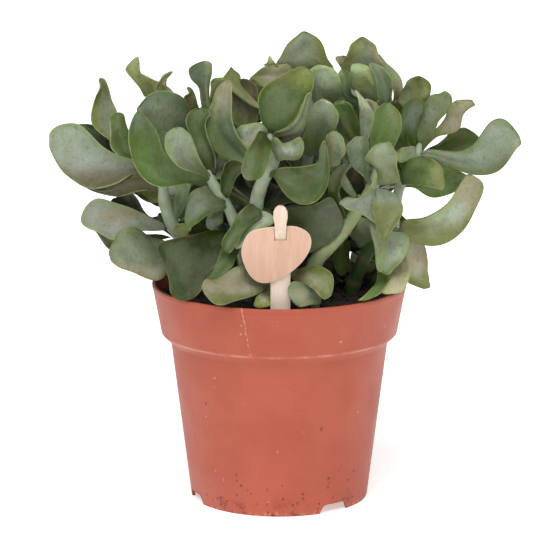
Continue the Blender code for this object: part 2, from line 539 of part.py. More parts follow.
class DrawnLeaf(Leaf):
    """Blade between two margins drawn on the sheet, from its root on the stem to its tip."""

    stations = DRAWN_STATIONS

    def __init__(self, row, where, push, bend, scale, phase):
        stem, _, mid_depth, tip_depth, lean, bulge, left, right, tip = row
        self.stem = stem
        self.bulge = bulge
        self.scale = scale
        self.phase = phase
        on_stem = stemPoint(stem, where)
        first = [place(side[0], side[1], on_stem.y) for side in (left, right)]
        outward = ((first[0] + first[1]) * 0.5 - on_stem).normalized()
        root = on_stem + outward * (stemRadius(stem, where) * ROOT_SINK)
        across = first[1] - first[0]
        across = (across - outward * across.dot(outward)).normalized()
        end = place(tip[0], tip[1], tip_depth + push)
        count = len(left) // 2 + 1
        arm = (mid_depth + push * bend) * 2 - (root.y + end.y) * 0.5
        self.margins = []
        for side, sign in ((left, -1), (right, 1)):
            margin = [root + across * (sign * LEAF_ROOT_WIDTH / 2)]
            for k in range(1, count):
                t = k / count
                depth = root.y * (1 - t) ** 2 + arm * 2 * t * (1 - t) + end.y * t * t
                depth += sign * lean * math.sin(math.pi * t) / 2
                margin.append(place(side[2 * k - 2], side[2 * k - 1], depth))
            margin.append(end)
            self.margins.append(margin)
        turn = sum((self.onMargin(1, t) - self.onMargin(0, t)).cross(self.lead(t)).dot(TO_VIEWER)
                   for t in (0.3, 0.5, 0.7))
        self.flip = 1 if turn > 0 else -1

    def onMargin(self, side, t):
        """Point on a margin. Each margin runs on into the other one past the tip."""
        margin = self.margins[side]
        last = len(margin) - 1
        k = min(int(t * last), last - 1)
        f = t * last - k
        before = margin[k - 1] if k > 0 else margin[0] * 2 - margin[1]
        after = margin[k + 2] if k + 2 <= last else self.margins[1 - side][last - 1]
        a, b = margin[k], margin[k + 1]
        return (a * 2 + (b - before) * f + (before * 2 - a * 5 + b * 4 - after) * f ** 2
                + (a * 3 - before - b * 3 + after) * f ** 3) * 0.5

    def centre(self, t):
        return (self.onMargin(0, t) + self.onMargin(1, t)) * 0.5

    def lead(self, t):
        return self.centre(min(1.0, t + LEAD_STEP)) - self.centre(max(0.0, t - LEAD_STEP))

    def point(self, t, s, lift, grow=0.0):
        left, right = self.onMargin(0, t), self.onMargin(1, t)
        across = right - left
        unit = across.normalized()
        if across.length < LEAST_CHORD:
            unit = (self.onMargin(1, TIP_CHORD) - self.onMargin(0, TIP_CHORD)).normalized()
        normal = unit.cross(self.lead(t)).normalized() * self.flip
        out = across * (s * 0.5 * self.scale) + unit * (s * grow * min(1, t * 5))
        lag = WAVE_LAG if s > 0 else 0.0
        rise = DRAWN_WAVE * s * s * math.sin(WAVE_TURN * t + self.phase + lag) * min(1.0, t * 2)
        rise = rise + self.bulge * (1 - s * s) * math.sin(math.pi * t)
        return (left + right) * 0.5 + out + TO_VIEWER * rise + normal * lift


def leafBody(leaf, grow=0.0):
    """Closed blade with four corners at each station, split alike on both faces."""
    points = []
    for t in leaf.stations:
        lift = leaf.thickness(t) / 2 + grow
        points.append(leaf.point(t, -1, 0, grow))
        points.append(leaf.point(t, 0, lift, grow))
        points.append(leaf.point(t, 1, 0, grow))
        points.append(leaf.point(t, 0, -lift, grow))
    points.append(leaf.point(1.0, 0, 0))
    faces = [(0, 1, 2), (0, 2, 3)]
    for row in range(len(leaf.stations) - 1):
        a = row * 4
        b = a + 4
        for left, right in ((0, 1), (2, 1), (2, 3), (0, 3)):
            near, far = a + left, a + right
            faces.append((near, far, b + right))
            faces.append((near, b + right, b + left))
    last = (len(leaf.stations) - 1) * 4
    end = len(points) - 1
    for k in range(4):
        faces.append((last + k, last + (k + 1) % 4, end))
    return points, faces


def stemBody(name):
    """Rings of a stem: straight below the soil, then along its line."""
    foot, foot_radius, _, points = STEMS[name]
    rings = [(Vector((foot[0], foot[1], SOIL_TOP - STEM_DEPTH + GAP)), foot_radius * 0.8),
             (Vector((foot[0], foot[1], SOIL_TOP - STEM_DEPTH + 3)), foot_radius),
             (Vector((foot[0], foot[1], SOIL_TOP + 1.5)), foot_radius)]
    steps = len(points) * 2
    for k in range(1, steps + 1):
        where = k * 0.5
        rings.append((stemPoint(name, where), stemRadius(name, where)))
    lead = (rings[-1][0] - rings[-2][0]).normalized()
    rings.append((rings[-1][0] + lead * 1.6, rings[-1][1] * 0.55))
    return rings


def ringCorners(rings, sides):
    """Corners of each ring, carried along the line without turning."""
    rows = []
    side = Vector((1, 0, 0))
    for k, (centre, radius) in enumerate(rings):
        ahead = rings[min(k + 1, len(rings) - 1)][0] - rings[max(k - 1, 0)][0]
        ahead.normalize()
        side = (side - ahead * side.dot(ahead)).normalized()
        up = ahead.cross(side)
        row = []
        for corner in range(sides):
            angle = 2 * math.pi * corner / sides
            row.append(centre + (side * math.cos(angle) + up * math.sin(angle)) * radius)
        rows.append(row)
    return rows


def tubeFaces(rows, sides):
    points = [corner for row in rows for corner in row]
    faces = [tuple(range(sides - 1, -1, -1))]
    for k in range(len(rows) - 1):
        for corner in range(sides):
            a = k * sides + corner
            b = k * sides + (corner + 1) % sides
            faces.append((a, b, b + sides, a + sides))
    faces.append(tuple(range((len(rows) - 1) * sides, len(rows) * sides)))
    return points, faces


def hitsPot(points):
    """True where a point is in the pot's wall or in the soil."""
    for p in points:
        radius = math.hypot(p.x, p.y)
        if radius < RIM_RADIUS + 0.8 and p.z < POT_HEIGHT + 0.8:
            if radius > RIM_RADIUS - 3.2 or p.z < SOIL_TOP + 2.2:
                return True
    return False


def stickBody():
    """Flat stick that stands behind the plate, steps through its slit and ends in front."""
    behind = PLATE_Y + STICK_STEP
    front = PLATE_Y - STICK_STEP
    rows = [(STICK_TIP, 0.9, behind), (STICK_TIP + 4, 3.2, behind),
            (STICK_TIP + 9, STICK_HALF, behind), (SLIT_Z - 8, STICK_HALF, behind),
            (SLIT_Z - 5, NECK_HALF + 0.1, behind), (SLIT_Z - 2.6, NECK_HALF, behind),
            (SLIT_Z + 2.6, NECK_HALF, front), (SLIT_Z + 5.5, NECK_HALF + 0.1, front),
            (SLIT_Z + 8.5, 3.3, front), (STICK_TOP - 3, 3.2, front),
            (STICK_TOP - 1.3, 2.4, front), (STICK_TOP - 0.4, 1.4, front), (STICK_TOP, 0.5, front)]
    rings = []
    for z, half, y in rows:
        rings.append([Vector((STICK_X + sx * half, y + sy * STICK_THICK / 2, z))
                      for sx, sy in ((-1, -1), (1, -1), (1, 1), (-1, 1))])
    return tubeFaces(rings, 4)


def plateOutline(steps):
    """Smooth closed outline of the plate through its sheet points."""
    count = len(PLATE_OUTLINE)
    ring = []
    for k in range(count):
        p0, p1, p2, p3 = [Vector(PLATE_OUTLINE[(k + d) % count]) for d in (-1, 0, 1, 2)]
        for step in range(steps):
            t = step / steps
            spot = (p1 * 2 + (p2 - p0) * t + (p0 * 2 - p1 * 5 + p2 * 4 - p3) * t ** 2
                    + (p1 * 3 - p0 - p2 * 3 + p3) * t ** 3) * 0.5
            ring.append(place(spot.x, spot.y, PLATE_Y))
    return ring


def plateBody():
    ring = plateOutline(3)
    half = Vector((0, PLATE_THICK / 2, 0))
    return tubeFaces([[p - half for p in ring], [p + half for p in ring]], len(ring))


def tree(body):
    return BVHTree.FromPolygons(*body)


def outerPart(leaf, body):
    """The blade without its inner half, which may meet the leaves of its own stem."""
    points, faces = body
    first = 4 * sum(1 for t in leaf.stations if t < INNER_HALF)
    return points, [f for f in faces if min(f) >= first]


def merged(bodies):
    """One tree of several bodies."""
    points = []
    faces = []
    for body_points, body_faces in bodies:
        shift = len(points)
        points += body_points
        faces += [tuple(shift + k for k in face) for face in body_faces]
    return tree((points, faces))


def inFront(leaf, drawn):
    """True where the leaf would come between the viewer and a drawn leaf or stem."""
    for t in RING_STEPS:
        for s in (-1, 0, 1):
            spot = leaf.point(t, s, 0)
            away = (spot - VIEW_POINT).normalized()
            if drawn.ray_cast(spot, away)[0] and not drawn.ray_cast(spot, -away)[0]:
                return True
    return False


def placeLeaves():
    """All leaves, each bent forward or back until it is clear of the others."""
    trunks = {}
    stems = {}
    for name in STEMS:
        trunks[name] = tubeFaces(ringCorners(stemBody(name), STEM_SIDES), STEM_SIDES)
        stems[name] = tree(trunks[name])
    label = [tree(stickBody()), tree(plateBody())]
    placed = []

    def clear(leaf, strict):
        body = leafBody(leaf, CLEARANCE)
        if hitsPot(body[0][4:]):
            return None
        whole = tree(body)
        outer = tree(outerPart(leaf, body))
        if any(whole.overlap(part) for part in label):
            return None
        for name, trunk in stems.items():
            if name != leaf.stem and whole.overlap(trunk):
                return None
            if name == leaf.stem and strict and outer.overlap(trunk):
                return None
        for other, other_whole, other_outer in placed:
            if other.stem != leaf.stem:
                if whole.overlap(other_whole):
                    return None
            elif strict and outer.overlap(other_outer):
                return None
        return whole, outer

    rng = random.Random(FRONT_SEED)
    for number, row in enumerate(FRONT_LEAVES):
        stem = row[0]
        phase = rng.uniform(0, 6.28)
        where = row[1] - rng.uniform(0, ROOT_SPREAD)
        done = False
        for strict, scale in ((True, 1.0), (False, 1.0), (False, 0.85), (False, 0.7)):
            for push in DEPTH_STEPS:
                for bend in (0.7, 0.0, 1.2):
                    leaf = DrawnLeaf(row, where, push, bend, scale, phase)
                    found = clear(leaf, strict)
                    if found:
                        placed.append((leaf,) + found)
                        done = True
                        break
                if done:
                    break
            if done:
                break
        if not done:
            print("left out front leaf", number, stem, where)
    front = len(placed)
    bare = {(u, v) for u in range(*BARE_SPAN) for v in range(*BARE_SPAN) if insideOutline(u, v)}
    for leaf, _, _ in placed:
        bare -= leaf.hides(bare)
    drawn = merged([leafBody(leaf) for leaf, _, _ in placed] + list(trunks.values()))
    rng = random.Random(BACK_LEAF_SEED)
    tries = 0
    names = sorted(STEMS) + list(FREE_TURN_STEMS) + list(BACK_STEMS)
    while len(placed) < front + BACK_LEAF_COUNT and tries < MOST_TRIES:
        tries += 1
        name = names[tries % len(names)]
        count = len(STEMS[name][3])
        pair = rng.randint(1, count * 2)
        where = min(count, pair * 0.5 + rng.uniform(-0.05, 0.05))
        azimuth = math.radians(90 * (pair % 4) + 40 + rng.uniform(-35, 35))
        lowest = LOW_DROOP if pair <= LOW_PAIRS else HIGH_DROOP
        level = math.radians(rng.uniform(lowest, 30) + 45 * (where / count) ** 2)
        heading = Vector((math.cos(azimuth), math.sin(azimuth), 0))
        if heading.y < -0.2 and name not in FREE_TURN_STEMS:
            continue
        length = rng.uniform(*BACK_LENGTH)
        width = length * rng.uniform(*BACK_WIDTH_SHARE)
        root = stemPoint(name, where)
        tip = root + (heading * math.cos(level) + Vector((0, 0, math.sin(level)))) * length
        middle = (root + tip) * 0.5 + heading * rng.uniform(0, 5)
        middle = middle - Vector((0, 0, rng.uniform(-1, 4)))
        leaf = Leaf(name, where, middle, tip, width, rng.uniform(-35, 35), rng.uniform(-40, 40),
                    rng.uniform(10, 50), rng.uniform(0, 1.5), 0.8, Vector((0, 0, 1)) - heading * 0.4,
                    rng.uniform(0, 6.28))
        body = leafBody(leaf)
        if any(abs(p.y) > REACH_Y or not insideOutline(*toSheet(p)) for p in body[0][8:]):
            continue
        hidden = leaf.hides(bare)
        least = max(COVER_SPOTS[0], COVER_SPOTS[1] - tries // COVER_PATIENCE)
        if len(placed) - front < COVER_COUNT and len(hidden) < least:
            continue
        if inFront(leaf, drawn):
            continue
        found = clear(leaf, True)
        if found:
            placed.append((leaf,) + found)
            bare -= hidden
    print("leaves:", front, "front,", len(placed) - front, "more after", tries, "tries,",
          len(bare), "spots bare")
    return [item[0] for item in placed]


def material(name, colour, roughness):
    made = bpy.data.materials.new(name)
    made.use_nodes = True
    shader = made.node_tree.nodes["Principled BSDF"]
    shader.inputs["Base Color"].default_value = (*colour, 1.0)
    shader.inputs["Roughness"].default_value = roughness
    made.diffuse_color = (*colour, 1.0)
    return made


def makeObject(name, points, faces):
    """Object from points in millimetres, welded and with its faces turned outwards."""
    mesh = bpy.data.meshes.new(name)
    bm = bmesh.new()
    corners = [bm.verts.new(p * METRE) for p in points]
    for face in faces:
        bm.faces.new([corners[k] for k in face])
    bmesh.ops.recalc_face_normals(bm, faces=bm.faces)
    if bm.calc_volume(signed=True) < 0:
        bmesh.ops.reverse_faces(bm, faces=bm.faces)
    bm.to_mesh(mesh)
    bm.free()
    made = bpy.data.objects.new(name, mesh)
    bpy.context.scene.collection.objects.link(made)
    return made


def looseParts(bm):
    """Sets of faces that hang together over their edges."""
    left = set(bm.faces)
    parts = []
    while left:
        first = left.pop()
        part = {first}
        border = [first]
        while border:
            for edge in border.pop().edges:
                for face in edge.link_faces:
                    if face in left:
                        left.remove(face)
                        part.add(face)
                        border.append(face)
        parts.append(part)
    return parts


def tidied(mesh, weld, split):
    """Mesh with hairline edges welded and loose scraps dropped, or None if it isn't closed."""
    bm = bmesh.new()
    bm.from_mesh(mesh)
    bmesh.ops.remove_doubles(bm, verts=bm.verts, dist=weld * METRE)
    bmesh.ops.dissolve_degenerate(bm, edges=bm.edges, dist=weld * METRE)
    if split:
        bmesh.ops.triangulate(bm, faces=bm.faces, ngon_method="EAR_CLIP")
    for part in sorted(looseParts(bm), key=len)[:-1]:
        bmesh.ops.delete(bm, geom=list(part), context="FACES")
    closed = len(bm.faces) > 0 and all(edge.is_manifold for edge in bm.edges)
    if closed:
        bm.to_mesh(mesh)
    bm.free()
    return mesh if closed else None


def combine(target, tools, operation):
    """Boolean of the target with all the tools at once, applied, and the tools removed."""
    group = bpy.data.collections.new(target.name + "_tools")
    bpy.context.scene.collection.children.link(group)
    for tool in tools:
        bpy.context.scene.collection.objects.unlink(tool)
        group.objects.link(tool)
        tool.hide_render = True
        tool.display_type = "WIRE"
    step = target.modifiers.new("join", "BOOLEAN")
    step.operand_type = "COLLECTION"
    step.collection = group
    step.operation = operation
    result = None
    for solver in ("EXACT", "MANIFOLD"):
        step.solver = solver
        bpy.context.view_layer.update()
        shaped = target.evaluated_get(bpy.context.evaluated_depsgraph_get())
        for weld in WELDS:
            result = tidied(bpy.data.meshes.new_from_object(shaped), weld, operation == "UNION")
            if result:
                break
        if result:
            break
    if not result:
        print("not closed", target.name)
        result = bpy.data.meshes.new_from_object(shaped)
    target.modifiers.clear()
    old = target.data
    target.data = result
    bpy.data.meshes.remove(old)
    result.name = target.name
    for tool in tools:
        used = tool.data
        bpy.data.objects.remove(tool)
        bpy.data.meshes.remove(used)
    bpy.data.collections.remove(group)


def turned(profile, segments, wobble=None):
    """Solid of revolution of a profile of (radius, z) that starts and ends on the axis."""
    points = [Vector((0, 0, profile[0][1]))]
    for ring, (radius, z) in enumerate(profile[1:-1]):
        for k in range(segments):
            angle = 2 * math.pi * k / segments
            lift = wobble(ring, k) if wobble else 0.0
            points.append(Vector((radius * math.sin(angle), -radius * math.cos(angle), z + lift)))
    points.append(Vector((0, 0, profile[-1][1])))
    faces = []
    count = len(profile) - 2
    for k in range(segments):
        after = (k + 1) % segments
        faces.append((0, 1 + k, 1 + after))
        for ring in range(count - 1):
            a = 1 + ring * segments
            b = a + segments
            faces.append((a + k, b + k, b + after, a + after))
        a = 1 + (count - 1) * segments
        faces.append((a + k, len(points) - 1, a + after))
    return points, faces


def wallRadius(z):
    """Outer radius of the pot's tapering wall below the ledge."""
    return BASE_RADIUS + (LEDGE_RADIUS - BASE_RADIUS) * z / LEDGE_Z


def makePot():
    outer = [(BASE_RADIUS, 0.0), (LEDGE_RADIUS, LEDGE_Z),
             (BAND_FOOT_RADIUS - LIP, BAND_FOOT_Z - LIP), (BAND_FOOT_RADIUS, BAND_FOOT_Z + LIP),
             (RIM_RADIUS - LIP, POT_HEIGHT - 2.6), (RIM_RADIUS, POT_HEIGHT - 2.0),
             (RIM_RADIUS, POT_HEIGHT - LIP), (RIM_RADIUS - LIP, POT_HEIGHT)]
    inner = [(RIM_RADIUS - WALL + LIP, POT_HEIGHT), (RIM_RADIUS - WALL, POT_HEIGHT - LIP),
             (BAND_FOOT_RADIUS - WALL, BAND_FOOT_Z + 0.6), (LEDGE_RADIUS - WALL, LEDGE_Z + 0.6),
             (wallRadius(FLOOR_TOP) - WALL, FLOOR_TOP)]
    foot = [(wallRadius(FLOOR_TOP - WALL) - WALL, FLOOR_TOP - WALL), (BASE_RADIUS - WALL, 0.0)]
    profile = [(0, FLOOR_TOP - WALL)] + foot + outer + inner + [(0, FLOOR_TOP)]
    pot = makeObject("pot", *turned(profile, POT_SEGMENTS))
    cutters = []
    for angle in NOTCH_ANGLES:
        spin = Matrix.Rotation(math.radians(angle), 3, "Z")
        points = []
        for radius in (BASE_RADIUS - 5, BASE_RADIUS + 4):
            for half, z in ((0.5, -1.0), (0.5, 0.0), (0.36, NOTCH_HEIGHT)):
                points.append(spin @ Vector((-NOTCH_WIDTH * half, -radius, z)))
                points.append(spin @ Vector((NOTCH_WIDTH * half, -radius, z)))
        faces = [(0, 1, 3, 2), (2, 3, 5, 4), (6, 7, 9, 8), (8, 9, 11, 10), (0, 1, 7, 6),
                 (4, 5, 11, 10), (0, 2, 8, 6), (2, 4, 10, 8), (1, 3, 9, 7), (3, 5, 11, 9)]
        cutters.append(makeObject("notch", points, faces))
    for k in range(4):
        angle = math.radians(45 + 90 * k)
        centre = Vector((DRAIN_RING * math.sin(angle), DRAIN_RING * math.cos(angle), 0))
        rows = ringCorners([(centre + Vector((0, 0, 2)), DRAIN_RADIUS),
                            (centre + Vector((0, 0, 8)), DRAIN_RADIUS)], HOLE_SIDES)
        cutters.append(makeObject("drain", *tubeFaces(rows, HOLE_SIDES)))
    combine(pot, cutters, "DIFFERENCE")
    return pot


def makeSoil():
    """Soil that fills the pot, with a plain hole for each stem and for the stick."""
    edge_radius = RIM_RADIUS - WALL - GAP
    slope = (RIM_RADIUS - BAND_FOOT_RADIUS) / (POT_HEIGHT - 2 - BAND_FOOT_Z)
    top_radius = edge_radius - slope * (POT_HEIGHT - SOIL_TOP) - 0.2
    profile = [(0, FLOOR_TOP + GAP), (wallRadius(FLOOR_TOP) - WALL - GAP, FLOOR_TOP + GAP),
               (LEDGE_RADIUS - WALL - GAP - 0.1, LEDGE_Z + 0.8),
               (BAND_FOOT_RADIUS - WALL - GAP - 0.2, BAND_FOOT_Z + 1.0), (top_radius, SOIL_TOP)]
    count = len(profile)
    for share in reversed(SOIL_RINGS):
        profile.append((top_radius * share, SOIL_TOP + 0.5))
    profile.append((0, SOIL_TOP + 0.6))
    rng = random.Random(SOIL_SEED)
    bumps = {}

    def wobble(ring, k):
        if ring < count - 1:
            return 0.0
        key = (ring, k)
        if key not in bumps:
            bumps[key] = rng.uniform(-SOIL_BUMP, SOIL_BUMP)
        return bumps[key]

    soil = makeObject("soil", *turned(profile, SOIL_SEGMENTS, wobble))
    cutters = []
    for foot, radius, _, _ in STEMS.values():
        low = Vector((foot[0], foot[1], SOIL_TOP - STEM_DEPTH))
        high = Vector((foot[0], foot[1], SOIL_TOP + 6))
        rows = ringCorners([(low, radius + GAP), (high, radius + GAP)], HOLE_SIDES)
        cutters.append(makeObject("stem_hole", *tubeFaces(rows, HOLE_SIDES)))
    half_width = STICK_HALF + GAP
    half_thick = STICK_THICK / 2 + GAP
    middle = PLATE_Y + STICK_STEP
    rows = []
    for z in (STICK_TIP - GAP, SOIL_TOP + 6):
        rows.append([Vector((STICK_X + sx * half_width, middle + sy * half_thick, z))
                     for sx, sy in ((-1, -1), (1, -1), (1, 1), (-1, 1))])
    cutters.append(makeObject("stick_hole", *tubeFaces(rows, 4)))
    combine(soil, cutters, "DIFFERENCE")
    return soil


def makePlate():
    plate = makeObject("label_plate", *plateBody())
    rows = []
    for y in (PLATE_Y - 3, PLATE_Y + 3):
        rows.append([Vector((STICK_X + sx * SLIT_HALF_WIDTH, y, SLIT_Z + sz * SLIT_HALF_HEIGHT))
                     for sx, sz in ((-1, -1), (1, -1), (1, 1), (-1, 1))])
    combine(plate, [makeObject("slit", *tubeFaces(rows, 4))], "DIFFERENCE")
    return plate


def makeLeafyStems():
    leaves = placeLeaves()
    made = []
    for name in STEMS:
        rows = ringCorners(stemBody(name), STEM_SIDES)
        stem = makeObject("leafy_stem_" + name, *tubeFaces(rows, STEM_SIDES))
        blades = [makeObject("blade", *leafBody(leaf)) for leaf in leaves if leaf.stem == name]
        combine(stem, blades, "UNION")
        made.append(stem)
    return made


def finish(made, colour, roughness):
    made.data.materials.clear()
    made.data.materials.append(material(made.name + "_material", colour, roughness))


def main():
    for old in list(bpy.data.objects):
        bpy.data.objects.remove(old)
    pot = makePot()
    finish(pot, *POT_LOOK)
    pot.data.shade_smooth()
    pot.data.set_sharp_from_angle(angle=math.radians(32))
    finish(makeSoil(), *SOIL_LOOK)
    finish(makeObject("label_stick", *stickBody()), *STICK_LOOK)
    finish(makePlate(), *PLATE_LOOK)
    for number, stem in enumerate(makeLeafyStems()):
        shade = 0.9 + 0.03 * (number % 5)
        finish(stem, [channel * shade for channel in LEAF_COLOUR], LEAF_ROUGHNESS)


if __name__ == "__main__":
    main()
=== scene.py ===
import math
import random
import bmesh
import bpy
from mathutils import Matrix, Vector, noise
from mathutils.bvhtree import BVHTree


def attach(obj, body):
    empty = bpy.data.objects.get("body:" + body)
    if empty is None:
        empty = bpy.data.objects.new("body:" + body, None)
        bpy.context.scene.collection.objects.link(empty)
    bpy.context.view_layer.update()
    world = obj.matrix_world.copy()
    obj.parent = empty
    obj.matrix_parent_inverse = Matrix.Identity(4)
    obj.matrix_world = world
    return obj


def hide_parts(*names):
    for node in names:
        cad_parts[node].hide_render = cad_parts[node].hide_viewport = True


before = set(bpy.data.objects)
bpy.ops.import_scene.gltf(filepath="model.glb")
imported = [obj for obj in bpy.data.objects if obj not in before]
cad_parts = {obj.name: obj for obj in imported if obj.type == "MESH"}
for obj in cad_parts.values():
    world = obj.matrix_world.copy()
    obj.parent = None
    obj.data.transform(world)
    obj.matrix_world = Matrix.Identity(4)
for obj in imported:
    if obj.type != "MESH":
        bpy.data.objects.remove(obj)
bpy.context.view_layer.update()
mm = 0.001

# The plant is laid out on a front-view sheet: u to the right, v down, and a depth y in millimetres.
# The camera stands where the sheet is seen from.
sheet = {"focus": 3300.0, "middle": 277.0, "distance": 1556.5, "tilt": math.radians(12.49),
         "aim": Vector((-1.08, 0.0, 105.32))}
toViewer = Vector((0.0, -math.cos(sheet["tilt"]), math.sin(sheet["tilt"])))
sheetUp = Vector((0.0, math.sin(sheet["tilt"]), math.cos(sheet["tilt"])))
sheetRight = Vector((1.0, 0.0, 0.0))
viewPoint = sheet["aim"] + toViewer * sheet["distance"]


def place(u, v, depth):
    ray = sheetRight * ((u - sheet["middle"]) / sheet["focus"])
    ray = ray - sheetUp * ((v - sheet["middle"]) / sheet["focus"]) - toViewer
    return viewPoint + ray * ((depth - viewPoint.y) / ray.y)


def toSheet(point):
    arm = point - viewPoint
    reach = -arm.dot(toViewer)
    u = sheet["middle"] + sheet["focus"] * arm.dot(sheetRight) / reach
    return u, sheet["middle"] - sheet["focus"] * arm.dot(sheetUp) / reach


def pairsOf(text):
    numbers = [float(word) for word in text.split()]
    return list(zip(numbers[::2], numbers[1::2]))


def eased(low, high, value):
    t = min(1.0, max(0.0, (value - low) / (high - low)))
    return t * t * (3 - 2 * t)


def curved(p0, p1, p2, p3, t):  # from p1 to p2, on the curve that also runs through p0 and p3
    return (p1 * 2 + (p2 - p0) * t + (p0 * 2 - p1 * 5 + p2 * 4 - p3) * t ** 2
            + (p1 * 3 - p0 - p2 * 3 + p3) * t ** 3) * 0.5


def fromScreen(colour, light=1.22):  # the base colour that looks so under that much light
    linear = [c / 255 / 12.92 if c < 10.3 else ((c / 255 + 0.055) / 1.055) ** 2.4 for c in colour]
    return Vector(linear) / light


class Paint:  # a material, and short names for the nodes in it
    def __init__(self, name):
        self.made = bpy.data.materials.new(name)
        self.made.use_nodes = True
        self.tree = self.made.node_tree
        self.spot = self.node("TexCoord").outputs["Object"]

    def fill(self, inputs, made=None):
        made = made or self.tree.nodes["Principled BSDF"]
        for key, value in inputs.items():
            if isinstance(value, bpy.types.NodeSocket):
                self.tree.links.new(value, made.inputs[key])
            else:
                made.inputs[key].default_value = value

    def node(self, kind, inputs=None, **settings):
        made = self.tree.nodes.new("ShaderNode" + kind)
        for key, value in settings.items():
            setattr(made, key, value)
        self.fill(inputs or {}, made)
        return made

    def noise(self, scale, detail=3.0, stretch=None, result="Fac"):
        coords = self.spot
        if stretch:
            coords = self.node("Mapping", {0: coords, 3: stretch}).outputs[0]
        inputs = {"Vector": coords, "Scale": scale, "Detail": detail}
        return self.node("TexNoise", inputs).outputs[result]

    def ranged(self, value, low, high, toLow=0.0, toHigh=1.0):
        return self.node("MapRange", {0: value, 1: low, 2: high, 3: toLow, 4: toHigh},
                         interpolation_type="SMOOTHSTEP").outputs[0]

    def maths(self, operation, a, b=0.5):
        return self.node("Math", {0: a, 1: b}, operation=operation).outputs[0]

    def times(self, a, b):
        return self.maths("MULTIPLY", a, b)

    def plus(self, a, b):
        return self.maths("ADD", a, b)

    def swung(self, value, by):  # round zero, at that many times its size
        return self.times(self.plus(value, -0.5), by)

    def tinted(self, colour, by):
        return self.node("VectorMath", {0: colour, 1: by}, operation="MULTIPLY").outputs[0]

    def axis(self, value, number):
        return self.node("SeparateXYZ", {0: value}).outputs[number]

    def mixed(self, share, a, b):
        a, b = [c if isinstance(c, bpy.types.NodeSocket) else (*c, 1.0) for c in (a, b)]
        return self.node("Mix", {0: share, 6: a, 7: b}, data_type="RGBA").outputs[2]

    def finish(self, inputs, height, strength, distance):
        inputs["Normal"] = self.node("Bump", {"Height": height, "Strength": strength,
                                              "Distance": distance}).outputs[0]
        self.fill(inputs)
        return self.made


def newPiece(name, bm, materials=(), smooth=False):
    mesh = bpy.data.meshes.new(name)
    bm.to_mesh(mesh)
    bm.free()
    made = bpy.data.objects.new(name, mesh)
    bpy.context.scene.collection.objects.link(made)
    for material in materials:
        mesh.materials.append(material)
    if smooth:
        mesh.shade_smooth()
    return made


def vertsOf(made):
    return [v for v in made["geom"] if isinstance(v, bmesh.types.BMVert)]


def rounded(bm, edges, size, segments):
    bmesh.ops.bevel(bm, geom=edges, offset=size * mm, offset_type="OFFSET", segments=segments,
                    profile=0.5, affect="EDGES", material=-1)


def spun(profile, steps, bevel=0.0):
    bm = bmesh.new()
    row = [bm.verts.new((x * mm, 0, z * mm)) for x, z in profile]
    for pair in zip(row, row[1:]):
        bm.edges.new(pair)
    if bevel:
        bmesh.ops.bevel(bm, geom=row[1:-1], offset=bevel * mm, offset_type="OFFSET", segments=3,
                        profile=0.5, affect="VERTICES", material=-1)
    bmesh.ops.spin(bm, geom=bm.verts[:] + bm.edges[:], cent=(0, 0, 0), axis=(0, 0, 1),
                   angle=2 * math.pi, steps=steps, use_merge=True)
    bmesh.ops.remove_doubles(bm, verts=bm.verts, dist=1e-6)
    bmesh.ops.recalc_face_normals(bm, faces=bm.faces)
    return bm


def cutWith(piece, cutters, sharp):
    group = bpy.data.collections.new(piece.name + "Cutters")
    bpy.context.scene.collection.children.link(group)
    for cutter in cutters:
        bpy.context.scene.collection.objects.unlink(cutter)
        group.objects.link(cutter)
    cut = piece.modifiers.new("cut", "BOOLEAN")
    cut.operand_type = "COLLECTION"
    cut.collection = group
    cut.operation = "DIFFERENCE"
    cut.solver = "EXACT"
    bpy.context.view_layer.update()
    shaped = piece.evaluated_get(bpy.context.evaluated_depsgraph_get())
    piece.data = bpy.data.meshes.new_from_object(shaped)
    piece.modifiers.clear()
    for cutter in cutters:
        bpy.data.objects.remove(cutter)
    bpy.data.collections.remove(group)
    piece.data.shade_smooth()
    piece.data.set_sharp_from_angle(angle=math.radians(sharp))


# The floor, the light and the camera.
studio = {"floor": (250, 250, 249), "glow": 0.45, "world": 0.43, "sun": 2.56, "softness": 55,
          "from": (-0.12, -0.7, 1.0), "film": 36.0}


def makeStudio():
    bm = bmesh.new()
    bmesh.ops.create_grid(bm, x_segments=1, y_segments=1, size=12)
    paint = Paint("paleFloor")
    tone = fromScreen(studio["floor"], 1.0)
    paint.fill({"Base Color": paint.mixed(paint.noise(0.6, 2.0), tone, tone * 0.97),
                "Roughness": 0.9, "Emission Color": (1, 1, 1, 1),
                "Emission Strength": studio["glow"]})
    floor = newPiece("floor", bm, [paint.made])
    world = bpy.data.worlds.new("studio")
    bpy.context.scene.world = world
    world.use_nodes = True
    sky = world.node_tree.nodes["Background"]
    sky.inputs[0].default_value = (1, 1, 1, 1)
    sky.inputs[1].default_value = studio["world"]
    light = bpy.data.lights.new("softSun", "SUN")
    light.energy = studio["sun"]
    light.angle = math.radians(studio["softness"])
    lamp = bpy.data.objects.new("softSun", light)
    lamp.location = studio["from"]
    lamp.rotation_euler = Vector(studio["from"]).to_track_quat("Z", "Y").to_euler()
    eye = bpy.data.cameras.new("camera")
    eye.sensor_width = studio["film"]
    eye.lens = studio["film"] * sheet["focus"] / (sheet["middle"] * 2)
    eye.clip_end = 30.0
    camera = bpy.data.objects.new("camera", eye)
    camera.location = viewPoint * mm
    camera.rotation_euler = (-toViewer).to_track_quat("-Z", "Y").to_euler()
    for made in (lamp, camera):
        bpy.context.scene.collection.objects.link(made)
    bpy.context.scene.camera = camera
    bpy.context.scene.view_settings.view_transform = "Standard"
    print("studio made")


